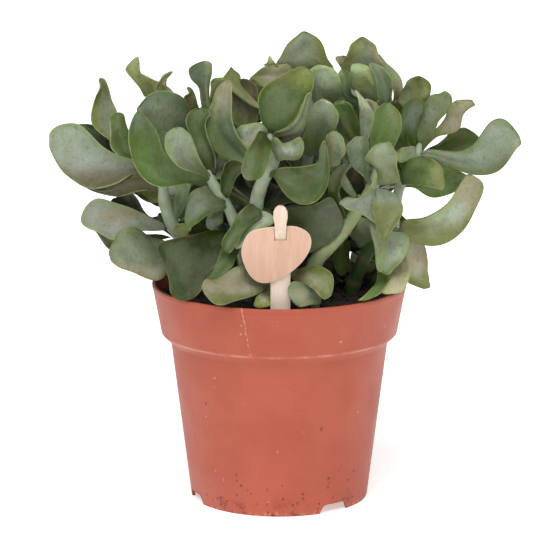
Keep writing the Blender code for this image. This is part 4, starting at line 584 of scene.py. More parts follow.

# Three lines a leaf. The first has its stem, place on it, depth at the middle and the tip, lean,
# bulge, how much wider a side it is here than in the solids, and tones: the main one, those towards
# top ^, foot _, left <, right > or middle =, and the rim's after a stroke, with plus or minus signs
# for a lighter or darker leaf. The tones are partly painted light and shade: k and the dark marks are
# the colour of shaded leaves and shaded parts, and the signs lighten or darken a leaf for how lit it
# looks. The others are its left margin, with the tip, and its right margin.
frontLeaves = """
a 3.1 -20 4 -9 -3 1.2 s=l_b/w
  137 162 119 160 104 151 91 137 78 125.5 64 126 53 132.5 49 141
  138 171 122 181 104 187 88 187.5 71 177 60 166 51 151
a 4 -12 -8 5 2 0 m<o>p/w
  112 142 93 128 90 113 94 99 100.5 88 97.5 81 100.5 78
  122 142 117 128 115.5 113 109.5 101 106.5 88 104.5 80
a 4.3 -12 -6 4 -1.5 0 k^d/g
  135 158 120 146 111 133 104 127 92 124.5 82 124.5
  134 161 117 157 101 149 91 138 81 127
a 3.8 -34 -30 5 1.5 0 g>b/w
  137 161 120 155.5 110.5 145 108.8 132 110.5 119 116 113
  140 160 135 150 130.5 136 125.5 124 122.5 115.5
a 2.1 -32 -30 -7 -1 0.9 l=p/w
  153 221 138 216.5 123 209.5 108 202.5 96 202 86 207.5 81 218.5
  153 231 138 230 124 231 112 237 97 230 86 224
a 1.9 -26 -20 3 0.5 0 v/v--
  128 237 117 237 108 233 99 229.5 93 227.5
  126 246 117 248 110.5 248.5 101 238.5
a 1.4 -40 -40 -8 1.5 0 m_p/o
  152 238 141 233 130 229 120 231 114 240 110 249 110 257
  163 258 167 271 160 280 145 277.5 130 271.5 116 266
a 2.1 -16 -10 4 -1 0 k/g
  150 218 144 208 139 197 131 191 122 193 116 198
  147 219.5 134 215.5 122 210 113 204.5 112.5 201
a 3 -16 -14 -2 0 0 o/o+
  156 194 147 191 140 191 136 193
  158 203 150 202.5 142 199
a 2 -28 -34 -2 0.5 0 o/y+
  176 227 182 223.5 187 225 191 229
  176 234 183 235 188 232.5
b 4 -42 -38 8 -2.5 0.8 g<v^t/w
  200 182.5 181 182.5 162 187 146 181.5 136 166 131 148 129 130 137 111.5
  205 178 188 173 170 162 161 150 157 137 151 126 144 117
b 4.1 -48 -48 5 -1.5 0 s_m/w
  203 175 188 170.5 175 165 167 154 165 143 166.5 133 175 127.5
  207 172 199 162 193.5 151 192 141 190 134 184 129
b 4.4 -32 -26 -5 -3 0 g_d/w-
  207 171 200 157 194.5 142 189 129 187 121 190 113 200 108
  216 171 217 157 211 142 206 129 207 120 210 113
b 3 -42 -44 -5 1.5 0 m<t_g/y-
  224 200 217 197 210 190.5 202 187 193 190 188 199 185 214
  224 210 215 211.5 204 216.5 196 222.5 190 229.5 186 228
b 3.2 -36 -34 5 -1 0 d/w-
  221 186 220 174 223 163 231 160 241 163
  228 196 233 184 238 175 243 168
b 1.7 -44 -45 5 -3 0 d<g/o--
  221 229 200 232 180 237.5 158 245 162 261 168 278 170 292 179 300
  228 240 223 256 213 269 204 280 202.5 288 197 295 189 299.5
b 1.5 -44 -48 -4 -1 0 g/g-
  236 232 224 247 217 262 210 274 208 280
  240 245 236 258 230 270 222 277
c 4 -36 -28 -6 -2.5 0 g=t^p/w
  246 167 228 158.5 213 148 205 131 207 114 213.5 100 219 88 228 80
  252 158 248 150 239 139 234 125 231 110 231.5 96 232 85
c 6 -30 -26 -3 0.5 0 s_p/w
  263 122.5 254 123 245 125.5 236 129 228.5 133.5
  262 134 252 148 242 146.5 233 139
c 6 -48 -58 4 -2 0 g<m^d/y
  258 131 252 140 247.5 151 244 161 241 170 247 180
  270 141 269.5 152 268 163 263 173 256 179.5
c 6.3 -34 -28 -6 -4 0 v^y=g/w-
  266 131 261.5 120 259 107 257.5 95 266 85 282 75.5 297 68.5 308 69
  276 132.5 286 128 295 119 301 108 306 97 313 90 313.5 78
c 6 -40 -38 4 1 0 m/w
  276 132 286 128 296 119 302 106 306 96 311.5 93
  279 136.5 291 135 301 131 306.5 119 310 105
c 5 -42 -44 -3 1 0 m=s/y
  271 142 274 138 281 144 290 142 297.5 137.5 302.5 140
  279 161 286 159 294 160 300.5 156 304 148
c 4 -52 -58 -5 -3 0 g^m/y-
  275 171 288 169 302 167.5 313 166 319 159 320.5 149 325 141
  275 178 284 192 299 203 316 203 327 190 329.5 168
c 2.7 -38 -36 3 -2 0 g<d>m/m--
  275 212 295 206 315 204 330 197 337 206 343.5 221
  285 248 300 255 315 250 326 245 338 236
c 2.6 -44 -46 -4 1.5 0 g/w-
  250 204 240 213 231 226 223.5 239 222.5 248 227 253
  262 216 253 222 245 232 240 240 233 249
c 2.4 -44 -48 -3 0.5 0 s/p++
  262 216.5 252 222.5 244 232 238 242 236 249
  276 220 262 229 251 236 243 246
c 6.8 -8 -4 -5 -3 0 b_o/o-
  240 128 232.5 117 231 105 231.5 92 234 83 244 78.5
  256 124 258.5 112 257 100 258 90 253 82
c 7 0 2 3 1 0 o/b
  228 88 222 79.5 226 74 229.5 69.5 231.5 67.5
  242 88 239.5 79 236.5 73.5 234 70
c 1 -50 -61 -6 1.5 0 p_o/s
  250 268 238 267.5 226 275 214 280 206 280.5 202 288
  266 288 256 295 240 299.5 226 304 213 303
c 0.8 -44 -50 3 0.5 0 o=p/g++
  264 288 258 295 254.5 303 258 308
  272 292 272 299 270 306
c 1.1 -46 -54 -5 1.5 0 o=p/w
  293 270 306 266 320 266.5 330 273 334 283 331 295
  292 279 303 282 312 287.5 318 294 325 300
d 0.8 -48 -52 -4 1 0 m=p/w+
  306 284 298 281 291 280.5 288 293
  322 303 312 308 298 309
d 4 -46 -48 -4 1.5 0 l/w
  374 190.5 362 196 352 199 344 199 339.5 204
  380 224 366 216 355 212 346 209
d 4 -46 -54 6 1.5 0 o^s/y
  374 200 372 214 375 226 379 234 382 240
  394 193 401.5 204 401.5 216 393 229
d 3.8 -44 -42 0 0.5 0 m/m+
  369 216 371 232 375.5 248 376.5 262 379.5 272
  383 220 386 238 387 252 384 264
d 2.9 -42 -42 -4 -1 0 d^t/m
  331 199 328.5 188 331 176 338 168 350 162
  339 197 341 186 345 175 349 168
d 3.5 -46 -48 -4 2 0 m<b/w+
  329 168 324.5 158 324 147 326.5 137 334.5 131
  340 163 344 155 345.5 146 343 138
d 4 -42 -42 4 1.5 0 t^m/s
  364 177 353 168 347 156 346.5 146 352 139.5 360 136.5
  369 174 366.5 163 367 152 368 143 366 137
d 4.3 -46 -46 -3 2 0 m/y+
  378 177 374 168 366 160 370 149.5 377 145 384 143
  394 183 400 176 399 165 397 154 391 145
d 5.6 -30 -28 5 -2 0 g=v/w+
  371 150 368 140 370 127 374 115 379 107 388 103
  393 150 397 138 400 126 400 115 396 107.5
e 3.9 -34 -36 5 1.5 0 s_g/w+
  388 233 380 243 378 256 379 268 384 274.5
  407 238 406 250 399 264 391 270.5
e 3.4 -28 -28 3 0.5 1.4 p/p++
  391 270 389 281 384 290 391 293.5
  405 262 406 276 402 288
e 3 -34 -44 3 0.5 1 g^v/y+
  380 276 375 287 367 295 361 300.5
  391 271 386 284 377 294.5
e 3.8 -10 -14 5 -1 0.9 p_o/b+
  407 240 405.5 252 404.5 265 406 277 414 284.5 427 288.5
  416 240 422 248 425.5 260 425.5 272 427 281
e 4 -16 -18 4 -2 0.6 p=s_o/b+
  405 220 420 219 436 212.5 450 201 459 189 467 176.5 477 177.5
  407 237 425 243 447 241.5 464 227 474 205 483 187
f 4 -26 -30 -4 2 0 g>o/p+
  402 172 409 160 420 155.5 431 158.5 439 164 443.5 176
  404 184.5 415 184 426 185.5 436 188 443 189.5
f 3.9 -8 -6 4 -2 0 g/g++
  420 178 436 166 448 165 458 170 467 177
  415 188 426 193.5 440 195.5 456 190
f 6 -24 -30 -6 -3 0.5 s_m/b
  430 150.5 445 152 460 152 474 147 483 135 492 123 506 121 520.5 139
  432 157 447 164 462 171.5 478 176.5 495 172 507 161 516 147
f 5.8 -6 -4 3 -1.5 0 d/m+
  436 146 444 140 450 132 460 127 470 130 480 139
  438 149 447 150.5 457 151.5 468 149.5 476 145
f 6 -12 -14 -3 0.5 0.9 p_o/o
  428 137 437 130 445 121 449 110 456 103 465 101.5 474 102.5
  428 143 437 136 449 133 459 128 462 115 468 107
f 6.2 -6 -6 -4 1 0.8 m/m
  418 133 422 118 427 106 433 96.5 441 95 447.5 92
  428 140 434 130 438 120 446 110 450.5 101
f 7 4 4 -4 2 0 o<m/o
  404 108 399 100 403 90 406 81.5 417 76
  424 108 429 100 431.5 92 428 82
f 6.5 -8 -10 5 -2.5 0 t_d/d+
  403 146 400 132 401 118 404 106 415 98
  415 144 418 131 421 118 424 106
f 5.4 -16 -18 -2 0.5 0 m/p++
  414 147.5 407 147 401 149 396 154
  410 156 405 161 400 162
g 3.2 -22 -24 5 -2.5 0 m^s_g/w++
  302 148 303 134 307 120 311 107 318 100.5 327 100.5
  317 146.5 327 139 334 128 338.5 116 335 106.5
g 5 -4 -6 -4 2 1.2 m/w+++
  312 98 308.5 86 309 75 315 67.5 325 65.5
  337 101 340.5 91 339.5 80 334 70.5
g 5.5 6 8 4 1 0 p<o/p
  285 92 270 90 258 86 252 81.5 250 78.5
  292 66 278 66 267 67 258 73
g 5.3 8 6 -5 3 0 m>o_b/b+
  286 75 277 65 280 55 288 45 295 37 303 31.5
  334 73 329 63 325.5 54 322 43 314 35
h 5 4 2 -5 2.5 0 o=m>p/p+
  343 80 341.5 68 347 55 351 45 356 40 363 37
  388 80 384 66 380 55 377 47 371 40.5
h 4.9 8 8 0 0.5 0 p_b/b+
  350 76 342 68 338 62 335.5 57.5
  356 66 348 57 341 56
h 4.9 6 6 5 1 0 m>p_b/p+
  391 104 392 92 388 78 382 66 377 57 379 54
  401 103 403 92 401 79 393 69 386 62
h 4.8 -14 -12 4 -2 0 t/w++
  379 104 377 93 376 82 372 72 370 63.5
  389 104 392.5 92 391 80 384 69
h 4.5 -8 -8 -4 2 0 m=o/w+++
  357 92 351 83 350 73 353 66 361 64
  377 100 376 88 374 78 370 70
h 4.7 4 6 -3 -1 0 t^m/m++
  342 97 340 87 338.5 77 342 69.5
  352 95 351.5 84 350.5 75
h 3.35 -10 -12 -4 -2.5 0 g_d/w+++
  349 138 340 125 338.5 113 334.5 105 342 100.5
  361 135 358.5 121 354 111 350 104
h 3.3 -14 -14 4 1 0 l/p+++
  361 136 359.5 122 360 110 357 97 355 90
  368 140 372 124 371 110 363 98
h 1.3 4 0 0 -1 0 m/w+++
  351 238 353 228 357 220 368 219
  362 249 377 248 377 234
i 3.9 -16 -24 -6 3 0 t=m/w+
  192 125 189 106 178 93 162 89.5 148 95 140 104 137 110
  186 132 172 131.5 160 130.5 150 126.5 143 120 138 115
i 4.1 -2 -4 -4 1 0 o^m/p++
  150 100 145 96 141 87 133 78 127 72.5 126 66.5 136.5 57
  168 96 163 84 155 80 146 77 140.5 72 139.5 60
i 4.3 -4 -4 3 0.5 0 p/b++
  160 93 158.5 83 161 76.5 167 73 172.5 71.5
  172 91 166.5 86 166.5 79 169.5 75
i 4.6 0 0 2 0.5 0 b_d/o+
  190 112 186 104 184 96 189 93 187 87.5
  197 110 196.5 103 195 95 191.5 90
i 5 2 0 -5 1.5 0 t>m/m+
  204 112 200.5 99 199 87 192.5 79.5 189 73 191 67 204 61
  210 112 210 99 210 88 211 79 212 71 211 64
i 4.9 -4 -4 4 0.5 0 g/g++
  207 110 209 100 210 90 211 81 219 78
  213 110 216 99 220 88 226 80
i 3 -2 -4 -4 0 0 t/t+++
  178 186 176 196 175 208 176 220
  192 186 189 198 182 212
i 1.6 2 0 -3 0 0 s/t+++
  222 212 214 211 208 215 206 225
  222 222 217 228 211 232
a 2.9 -24 -8 3 1 0 b<d/w-
  150 180 137 172.5 121 182.5 104 188 92 188 84 185.5
  152 190 136 190.5 118 195 104 194.5 93 190.5
g 5.6 7 8 0 0 0 m=p/p+++
  267 68 267.5 64 268.5 59 269.5 56
  281 68 276.5 63.5 272 60
h 4.3 -6 -6 0 0.5 0 p=b/p+++
  361 110 359 103 364 100 369 99.5
  374 114 377 107 375 102
h 0.9 14 8 -4 -1 0 d/g+++
  335 243 333 256 335 268 342 276
  349 243 351 256 349 268
"""

# Leaves behind those, which the solids leave out. Several are painted shade: dark leaves put into the
# shaded gaps between the others.
moreLeaves = """
a 3.5 -10 -8 0 0.5 0 b_o/o
  140 172 118 172 100 174 86 181
  140 183 118 190 100 189
a 1 -8 -8 0 0.5 0 d_k/o-
  164 216 157 217 149 218 139 222
  166 231 158 230 148 227
f 1.6 4 4 0 0.5 0 o/o
  392 214 396 213 401 214 408 222
  390 240 396 241 402 237
h 2.3 0 -5 0 0.5 0 b_k/b-
  347 192 345 182 348 173 356 167
  362 194 365 183 362 174
g 2 8 6 0 0.5 0 d/k
  304 196 316 193 328 194 338 200
  304 208 316 212 328 208
k 1.5 20 14 0 0.5 0 k^d/d
  336 222 348 214 360 216 372 224
  336 236 350 240 362 234
i 2.2 6 4 0 0.5 0 k/d
  222 192 232 184 243 184 254 197
  222 204 233 212 245 210
"""


class Stem:
    def __init__(self, row):
        self.name, *numbers = row.split()
        x, y, self.thick, self.thin, *spots = [float(number) for number in numbers]
        self.points = [Vector((x, y, soil["top"] + 1.5))]
        self.points += [place(*spot) for spot in zip(spots[::3], spots[1::3], spots[2::3])]
        self.last = len(self.points) - 1

    def point(self, where):  # whole numbers are the stem's own points
        where = min(max(where, 0.0), self.last - 1e-6)
        k = int(where)
        low, high = self.points[k], self.points[k + 1]
        before = self.points[k - 1] if k > 0 else low * 2 - high + Vector((0, 0, -4))
        after = self.points[k + 2] if k + 2 <= self.last else high * 2 - low
        return curved(before, low, high, after, where - k)

    def radius(self, where):
        return self.thick + (self.thin - self.thick) * min(1.0, where / self.last)

    def rings(self):
        foot = self.points[0]
        low = soil["top"] - plant["stemDepth"]
        rings = [(Vector((foot.x, foot.y, low + soil["gap"])), self.thick * 0.8),
                 (Vector((foot.x, foot.y, low + 3)), self.thick), (foot, self.thick)]
        rings += [(self.point(k / 2), self.radius(k / 2)) for k in range(1, self.last * 2 + 1)]
        lead = (rings[-1][0] - rings[-2][0]).normalized()
        return rings + [(rings[-1][0] + lead * 1.6, rings[-1][1] * 0.55)]


stems = {row[0]: Stem(row) for row in stemRows.strip().split("\n")}


def leafRows(text):
    rows = []
    lines = text.strip().split("\n")
    for head, left, right in zip(lines[::3], lines[1::3], lines[2::3]):
        name, *sizes, tones = head.split()
        *left, tip = pairsOf(left)
        rows.append((stems[name], [float(size) for size in sizes], left, pairsOf(right), tip, tones))
    return rows


def inRing(ring, u, v):
    inside = False
    for (u0, v0), (u1, v1) in zip(ring, ring[1:] + ring[:1]):
        if (v0 > v) != (v1 > v) and u < u0 + (v - v0) * (u1 - u0) / (v1 - v0):
            inside = not inside
    return inside


def insideOutline(u, v):
    if any(math.hypot(u - wu, v - wv) < radius for wu, wv, radius in plant["windows"]):
        return False
    return inRing(plant["outline"], u, v)


class Leaf:  # an added leaf, from its root, middle and tip, with the habit of its kind
    stations = plant["addedStations"]
    wave = plant["addedWave"]
    spread = plant["addedSpread"]
    flare = 0.0
    shaded = True

    def __init__(self, stem, where, heading, middle, tip, width, habit, rng):
        onStem = stem.point(where)
        outward = (middle - onStem).normalized()
        self.stem = stem
        self.root = onStem + outward * (stem.radius(where) * plant["rootSink"])
        self.arm = middle * 2 - (self.root + tip) * 0.5
        self.tip = tip
        self.width = width
        self.roll = math.radians(rng.uniform(-habit["roll"], habit["roll"]))
        self.twist = math.radians(rng.uniform(-habit["twist"], habit["twist"]))
        self.cup = math.radians(rng.uniform(*habit["cup"]))
        self.curl = rng.uniform(0, habit["curl"])
        self.phase = rng.uniform(*plant["phases"])
        self.facing = Vector((0, 0, 1)) - heading * plant["facing"]

    def frame(self, t):
        centre = self.root * (1 - t) ** 2 + self.arm * (2 * t * (1 - t)) + self.tip * (t * t)
        along = (self.arm - self.root) * (2 * (1 - t)) + (self.tip - self.arm) * (2 * t)
        along.normalize()
        normal = (self.facing - along * self.facing.dot(along)).normalized()
        normal = Matrix.Rotation(self.roll + self.twist * (t - 0.5), 3, along) @ normal
        side = along.cross(normal)
        return centre + normal * (self.curl * max(0.0, (t - 0.55) / 0.45) ** 2 * 3), side, normal

    def halfWidth(self, t):  # a spoon shape, on a root of its own width
        widest, narrowest = plant["widest"], plant["narrowest"]
        if t < widest:
            share = narrowest + (1 - narrowest) * eased(0, widest, t) ** 0.8
        else:
            share = math.sqrt(max(0.0, 1 - ((t - widest) / (1 - widest)) ** 2))
        return max(self.width * share, plant["rootWidth"] * (1 - t)) / 2

    def ripple(self, t, s, ruffle):
        lag = 1.3 if s > 0 else 0.0
        rise = self.wave * s * s * math.sin(7.5 * t + self.phase + lag)
        rise += ruffle * abs(s) ** 3 * math.sin(13 * t + self.phase * 2 + lag * 2)
        return rise * min(1.0, t * 2)

    def point(self, t, s, lift, grow=0.0, ruffle=0.0):  # s runs across from -1 to 1
        centre, side, normal = self.frame(t)
        half = self.halfWidth(t) + grow * min(1, t * 5)
        bend = self.cup * s
        out = half * math.sin(bend) / self.cup
        rise = half * (1 - math.cos(bend)) / self.cup + self.ripple(t, s, ruffle)
        away = normal * math.cos(bend) - side * math.sin(bend)
        return centre + side * out + normal * rise + away * lift

    def thickness(self, t):
        return plant["thick"] * (1 - plant["thinning"] * t)

    def hides(self, spots):
        ring = [toSheet(self.point(t, -1, 0)) for t in plant["ringSteps"]]
        ring += [toSheet(self.point(t, 1, 0)) for t in reversed(plant["ringSteps"])]
        return {spot for spot in spots if inRing(ring, *spot)}


class DrawnLeaf(Leaf):  # a leaf between two margins that are drawn on the sheet
    stations = plant["drawnStations"]
    wave = plant["drawnWave"]
    spread = plant["drawnSpread"]
    shaded = False

    def __init__(self, row, where, push, bend, scale, phase):
        self.stem, sizes, left, right, tip, self.tones = row
        _, midDepth, tipDepth, lean, self.bulge, self.flare = sizes
        self.scale = scale
        self.phase = phase
        onStem = self.stem.point(where)
        first = [place(*side[0], onStem.y) for side in (left, right)]
        outward = ((first[0] + first[1]) * 0.5 - onStem).normalized()
        root = onStem + outward * (self.stem.radius(where) * plant["rootSink"])
        across = first[1] - first[0]
        across = (across - outward * across.dot(outward)).normalized()
        end = place(*tip, tipDepth + push)
        arm = (midDepth + push * bend) * 2 - (root.y + end.y) * 0.5
        self.margins = []
        for side, sign in ((left, -1), (right, 1)):
            margin = [root + across * (sign * plant["rootWidth"] / 2)]
            for k, spot in enumerate(side, 1):
                t = k / (len(side) + 1)
                depth = root.y * (1 - t) ** 2 + arm * 2 * t * (1 - t) + end.y * t * t
                margin.append(place(*spot, depth + sign * lean * math.sin(math.pi * t) / 2))
            self.margins.append(margin + [end])
        turn = sum((self.onMargin(1, t) - self.onMargin(0, t)).cross(self.lead(t)).dot(toViewer)
                   for t in (0.3, 0.5, 0.7))
        self.flip = 1 if turn > 0 else -1
        self.width = max(self.halfWidth(k / 8) for k in range(2, 8)) * 2

    def onMargin(self, side, t):  # each margin runs on into the other one past the tip
        margin = self.margins[side]
        last = len(margin) - 1
        k = min(int(t * last), last - 1)
        before = margin[k - 1] if k > 0 else margin[0] * 2 - margin[1]
        after = margin[k + 2] if k + 2 <= last else self.margins[1 - side][last - 1]
        return curved(before, margin[k], margin[k + 1], after, t * last - k)

    def centre(self, t):
        return (self.onMargin(0, t) + self.onMargin(1, t)) * 0.5

    def lead(self, t):
        return self.centre(min(1.0, t + 0.03)) - self.centre(max(0.0, t - 0.03))

    def halfWidth(self, t):
        return (self.onMargin(1, t) - self.onMargin(0, t)).length / 2

    def point(self, t, s, lift, grow=0.0, ruffle=0.0):
        left, right = self.onMargin(0, t), self.onMargin(1, t)
        across = right - left
        unit = across.normalized()
        if across.length < 0.5:
            unit = (self.onMargin(1, 0.93) - self.onMargin(0, 0.93)).normalized()
        normal = unit.cross(self.lead(t)).normalized() * self.flip
        out = across * (s * 0.5 * self.scale) + unit * (s * grow * min(1, t * 5))
        rise = self.ripple(t, s, ruffle) + self.bulge * (1 - s * s) * math.sin(math.pi * t)
        return (left + right) * 0.5 + out + toViewer * rise + normal * lift


# Plain test bodies: they only find the same clear place for each leaf as the solids have.
def testBlade(leaf, grow):
    points = []
    for t in leaf.stations:
        lift = leaf.thickness(t) / 2 + grow
        points += [leaf.point(t, s, h, g) for s, h, g in
                   ((-1, 0, grow), (0, lift, 0.0), (1, 0, grow), (0, -lift, 0.0))]
    last = len(points) - 4
    points.append(leaf.point(1.0, 0, 0))
    faces = [(0, 1, 2), (0, 2, 3)]
    for a in range(0, last, 4):
        for left, right in ((0, 1), (2, 1), (2, 3), (0, 3)):
            near, far = a + left, a + right
            faces += [(near, far, far + 4), (near, far + 4, near + 4)]
    faces += [(last + k, last + (k + 1) % 4, last + 4) for k in range(4)]
    return points, faces


def tubeOf(points, rows, sides):
    faces = [tuple(range(sides - 1, -1, -1))]
    for k in range(rows - 1):
        for corner in range(sides):
            a = k * sides + corner
            b = k * sides + (corner + 1) % sides
            faces.append((a, b, b + sides, a + sides))
    faces.append(tuple(range((rows - 1) * sides, rows * sides)))
    return points, faces


def testStem(stem, sides):
    points = []
    rings = stem.rings()
    side = Vector((1, 0, 0))
    for k, (centre, radius) in enumerate(rings):
        ahead = rings[min(k + 1, len(rings) - 1)][0] - rings[max(k - 1, 0)][0]
        ahead.normalize()
        side = (side - ahead * side.dot(ahead)).normalized()
        up = ahead.cross(side)
        for corner in range(sides):
            angle = 2 * math.pi * corner / sides
            points.append(centre + (side * math.cos(angle) + up * math.sin(angle)) * radius)
    return tubeOf(points, len(rings), sides)


def testLabel():
    stick = [corner for row in stickRows() for corner in stickRing(*row)]
    ring = plateRing(3)
    half = Vector((0, label["plateThick"] / 2, 0))
    plate = [p - half for p in ring] + [p + half for p in ring]
    return [tubeOf(stick, len(stickRows()), 4), tubeOf(plate, 2, len(ring))]


def hitsPot(points):
    for p in points:
        radius = math.hypot(p.x, p.y)
        if radius < pot["rimRadius"] + plant["potGap"] and p.z < pot["height"] + plant["potGap"]:
            if radius > pot["rimRadius"] - plant["rimInside"] or p.z < soil["top"] + plant["soilGap"]:
                return True
    return False


def treeOf(bodies):
    points, faces = [], []
    for bodyPoints, bodyFaces in bodies:
        shift = len(points)
        points += bodyPoints
        faces += [tuple(shift + k for k in face) for face in bodyFaces]
    return BVHTree.FromPolygons(points, faces)


def inFront(leaf, drawn):  # of a drawn leaf or a stem, as the viewer sees it
    for t in plant["ringSteps"]:
        for s in (-1, 0, 1):
            spot = leaf.point(t, s, 0)
            away = (spot - viewPoint).normalized()
            if drawn.ray_cast(spot, away)[0] and not drawn.ray_cast(spot, -away)[0]:
                return True
    return False


def placeLeaves():
    back, fill = plant["back"], plant["fill"]
    tubes = [testStem(stem, plant["testSides"]) for stem in stems.values()]
    labelTrees = [treeOf([body]) for body in testLabel()]
    standing = [(stem, treeOf([tube]), treeOf([tube])) for stem, tube in zip(stems.values(), tubes)]
    placed = []

    def kept(leaf, strict):  # puts the leaf in if it is clear of what stands there
        points, faces = testBlade(leaf, plant["clearance"])
        if hitsPot(points[4:]):
            return False
        whole = treeOf([(points, faces)])
        if any(whole.overlap(part) for part in labelTrees):
            return False
        first = 4 * sum(1 for t in leaf.stations if t < plant["innerHalf"])
        outer = treeOf([(points, [face for face in faces if min(face) >= first])])
        for stem, itsWhole, itsOuter in standing:
            if stem != leaf.stem and whole.overlap(itsWhole):
                return False
            if stem == leaf.stem and strict and outer.overlap(itsOuter):
                return False
        standing.append((leaf.stem, whole, outer))
        placed.append(leaf)
        return True

    def addDrawn(row, where, phase, pushes):
        for strict, scale in plant["fits"]:
            for push in pushes:
                for bend in plant["bends"]:
                    if kept(DrawnLeaf(row, where, push, bend, scale, phase), strict):
                        return

    def addHidden(leaf, bare, least):  # says which bare spots the leaf covers
        body = testBlade(leaf, 0.0)[0]
        if any(abs(p.y) > plant["reach"] or not insideOutline(*toSheet(p)) for p in body[8:]):
            return set()
        hidden = leaf.hides(bare)
        if len(hidden) < least or inFront(leaf, drawn) or not kept(leaf, True):
            return set()
        # painted shade: leaves short of the back take the darker inner tones
        tones = plant["backTones" if leaf.tip.y > plant["backTonesFrom"] else "innerTones"]
        leaf.tones = tones[(len(placed) - 1) % len(tones)]
        return hidden

    rng = random.Random(plant["frontSeed"])
    for row in leafRows(frontLeaves):
        phase = rng.uniform(*plant["phases"])
        addDrawn(row, row[1][0] - rng.uniform(0, plant["rootSpread"]), phase, plant["frontPushes"])
    front = len(placed)
    drawn = treeOf([testBlade(leaf, 0.0) for leaf in placed] + tubes)
    span = range(*plant["bareSpan"])
    bare = {(u, v) for u in span for v in span if insideOutline(u, v)}
    for leaf in placed:
        bare -= leaf.hides(bare)
    rng = random.Random(back["seed"])
    names = list(stems) + list(plant["freeTurn"] + plant["behind"])
    for tries in range(1, back["tries"] + 1):
        if len(placed) == front + back["count"]:
            break
        stem = stems[names[tries % len(names)]]
        pair = rng.randint(1, stem.last * 2)
        where = min(stem.last, pair * 0.5 + rng.uniform(-0.05, 0.05))
        turn = 90 * (pair % 4) + back["aim"] + rng.uniform(-back["turn"], back["turn"])
        azimuth = math.radians(turn)
        rise = back["lowRise" if pair <= plant["lowPairs"] else "rise"]
        level = math.radians(rng.uniform(*rise) + back["steeper"] * (where / stem.last) ** 2)
        heading = Vector((math.cos(azimuth), math.sin(azimuth), 0))
        if heading.y < -0.2 and stem.name not in plant["freeTurn"]:
            continue
        length = rng.uniform(*back["length"])
        width = length * rng.uniform(*back["share"])
        root = stem.point(where)
        tip = root + (heading * math.cos(level) + Vector((0, 0, math.sin(level)))) * length
        middle = (root + tip) * 0.5 + heading * rng.uniform(*back["arch"])
        middle = middle - Vector((0, 0, rng.uniform(*back["sag"])))
        leaf = Leaf(stem, where, heading, middle, tip, width, back, rng)
        least = 0
        if len(placed) < front + plant["coverCount"]:
            least = max(plant["coverLeast"], plant["coverFirst"] - tries // plant["coverPatience"])
        bare -= addHidden(leaf, bare, least)
    print("leaves", front, "in front and", len(placed) - front, "behind")

    for row in leafRows(moreLeaves):
        addDrawn(row, row[1][0], plant["morePhase"], plant["morePushes"])
    # more leaves where the background would show through
    seen = [treeOf([testBlade(leaf, 0.0) for leaf in placed] + tubes)] + labelTrees
    spots = []
    for u in range(*fill["across"]):
        for v in range(*fill["down"]):
            away = (place(u, v, 0.0) - viewPoint).normalized()
            if insideOutline(u, v) and not any(body.ray_cast(viewPoint, away)[0] for body in seen):
                spots.append((u, v))
    print("bare spots", len(spots))
    rng = random.Random(fill["seed"])
    for _ in range(fill["tries"]):
        if not spots:
            break
        u, v = rng.choice(spots)
        stem = stems[rng.choice(list(stems))]
        where = rng.uniform(fill["lowest"], stem.last)
        root = stem.point(where)
        arm = place(u, v, root.y + rng.uniform(*fill["depth"])) - root
        length = arm.length * rng.uniform(*fill["longer"])
        heading = arm.normalized()
        if not fill["length"][0] < length < fill["length"][1] or heading.z < fill["steepest"]:
            continue
        tip = root + heading * length
        middle = (root + tip) * 0.5 - Vector((0, 0, rng.uniform(*fill["sag"])))
        width = length * rng.uniform(*fill["share"])
        leaf = Leaf(stem, where, heading, middle, tip, width, fill, rng)
        hidden = addHidden(leaf, spots, 1)
        spots = [spot for spot in spots if spot not in hidden]
    print("leaves in all", len(placed), "bare spots left", len(spots))
    return placed


def leafMaterial():
    paint = Paint("fleshyLeaf")
    tone, rim = [paint.node("Attribute", attribute_name=name).outputs["Color"]
                 for name in ("tone", "rim")]
    edge = paint.node("Attribute", attribute_name="edgeGap").outputs["Fac"]
    cloud = paint.noise(80.0, 4.0)
    drift = paint.noise(140.0, 3.0, (1.0, 1.0, 0.6))
    blotch = paint.noise(420.0)
    fine = paint.noise(1000.0, 1.0)
    # greener towards the margin, with a powdery bloom in clouds over the middle
    wander = paint.plus(edge, paint.swung(drift, 9.0))
    border = paint.ranged(wander, 0.0, plant["borderWidth"], 0.85, 0.15)
    colour = paint.mixed(border, tone, paint.tinted(tone, plant["green"]))
    powder = paint.times(paint.ranged(cloud, 0.4, 0.64), paint.ranged(wander, 0.5, 4.0))
    powder = paint.times(powder, plant["bloomMost"])
    bloom = paint.mixed(plant["veil"], paint.tinted(tone, plant["lift"]), plant["bloom"])
    colour = paint.mixed(powder, colour, bloom)
    # a warm flush, worn spots, fine grain, and a thin line of another tone at the rim
    flush = paint.times(paint.ranged(drift, 0.52, 0.66), paint.ranged(edge, 0.0, 4.0, 0.5, 0.2))
    blush = paint.mixed(0.4, paint.tinted(tone, plant["blush"]), plant["flush"])
    colour = paint.mixed(flush, colour, blush)
    colour = paint.mixed(paint.ranged(blotch, 0.56, 0.72, 0.0, 0.3), colour, plant["worn"])
    grain = paint.ranged(fine, 0.3, 0.7, 0.93, 1.06)
    colour = paint.node("VectorMath", {0: colour, "Scale": grain}, operation="SCALE").outputs[0]
    line = paint.plus(edge, paint.swung(blotch, 1.2))
    margin = paint.ranged(line, plant["rimWidth"] * 0.5, plant["rimWidth"], 0.7, 0.0)
    margin = paint.times(margin, paint.ranged(cloud, 0.38, 0.55, 0.35, 1.0))
    return paint.finish({"Base Color": paint.mixed(margin, colour, rim),
                         "Roughness": paint.ranged(powder, 0.0, 0.4, 0.4, 0.6),
                         "Specular IOR Level": 0.24, "Subsurface Weight": 0.1,
                         "Subsurface Radius": (0.6, 1.0, 0.3), "Subsurface Scale": 0.0015},
                        paint.plus(paint.times(cloud, 3.0), blotch), 0.5, 0.0006)


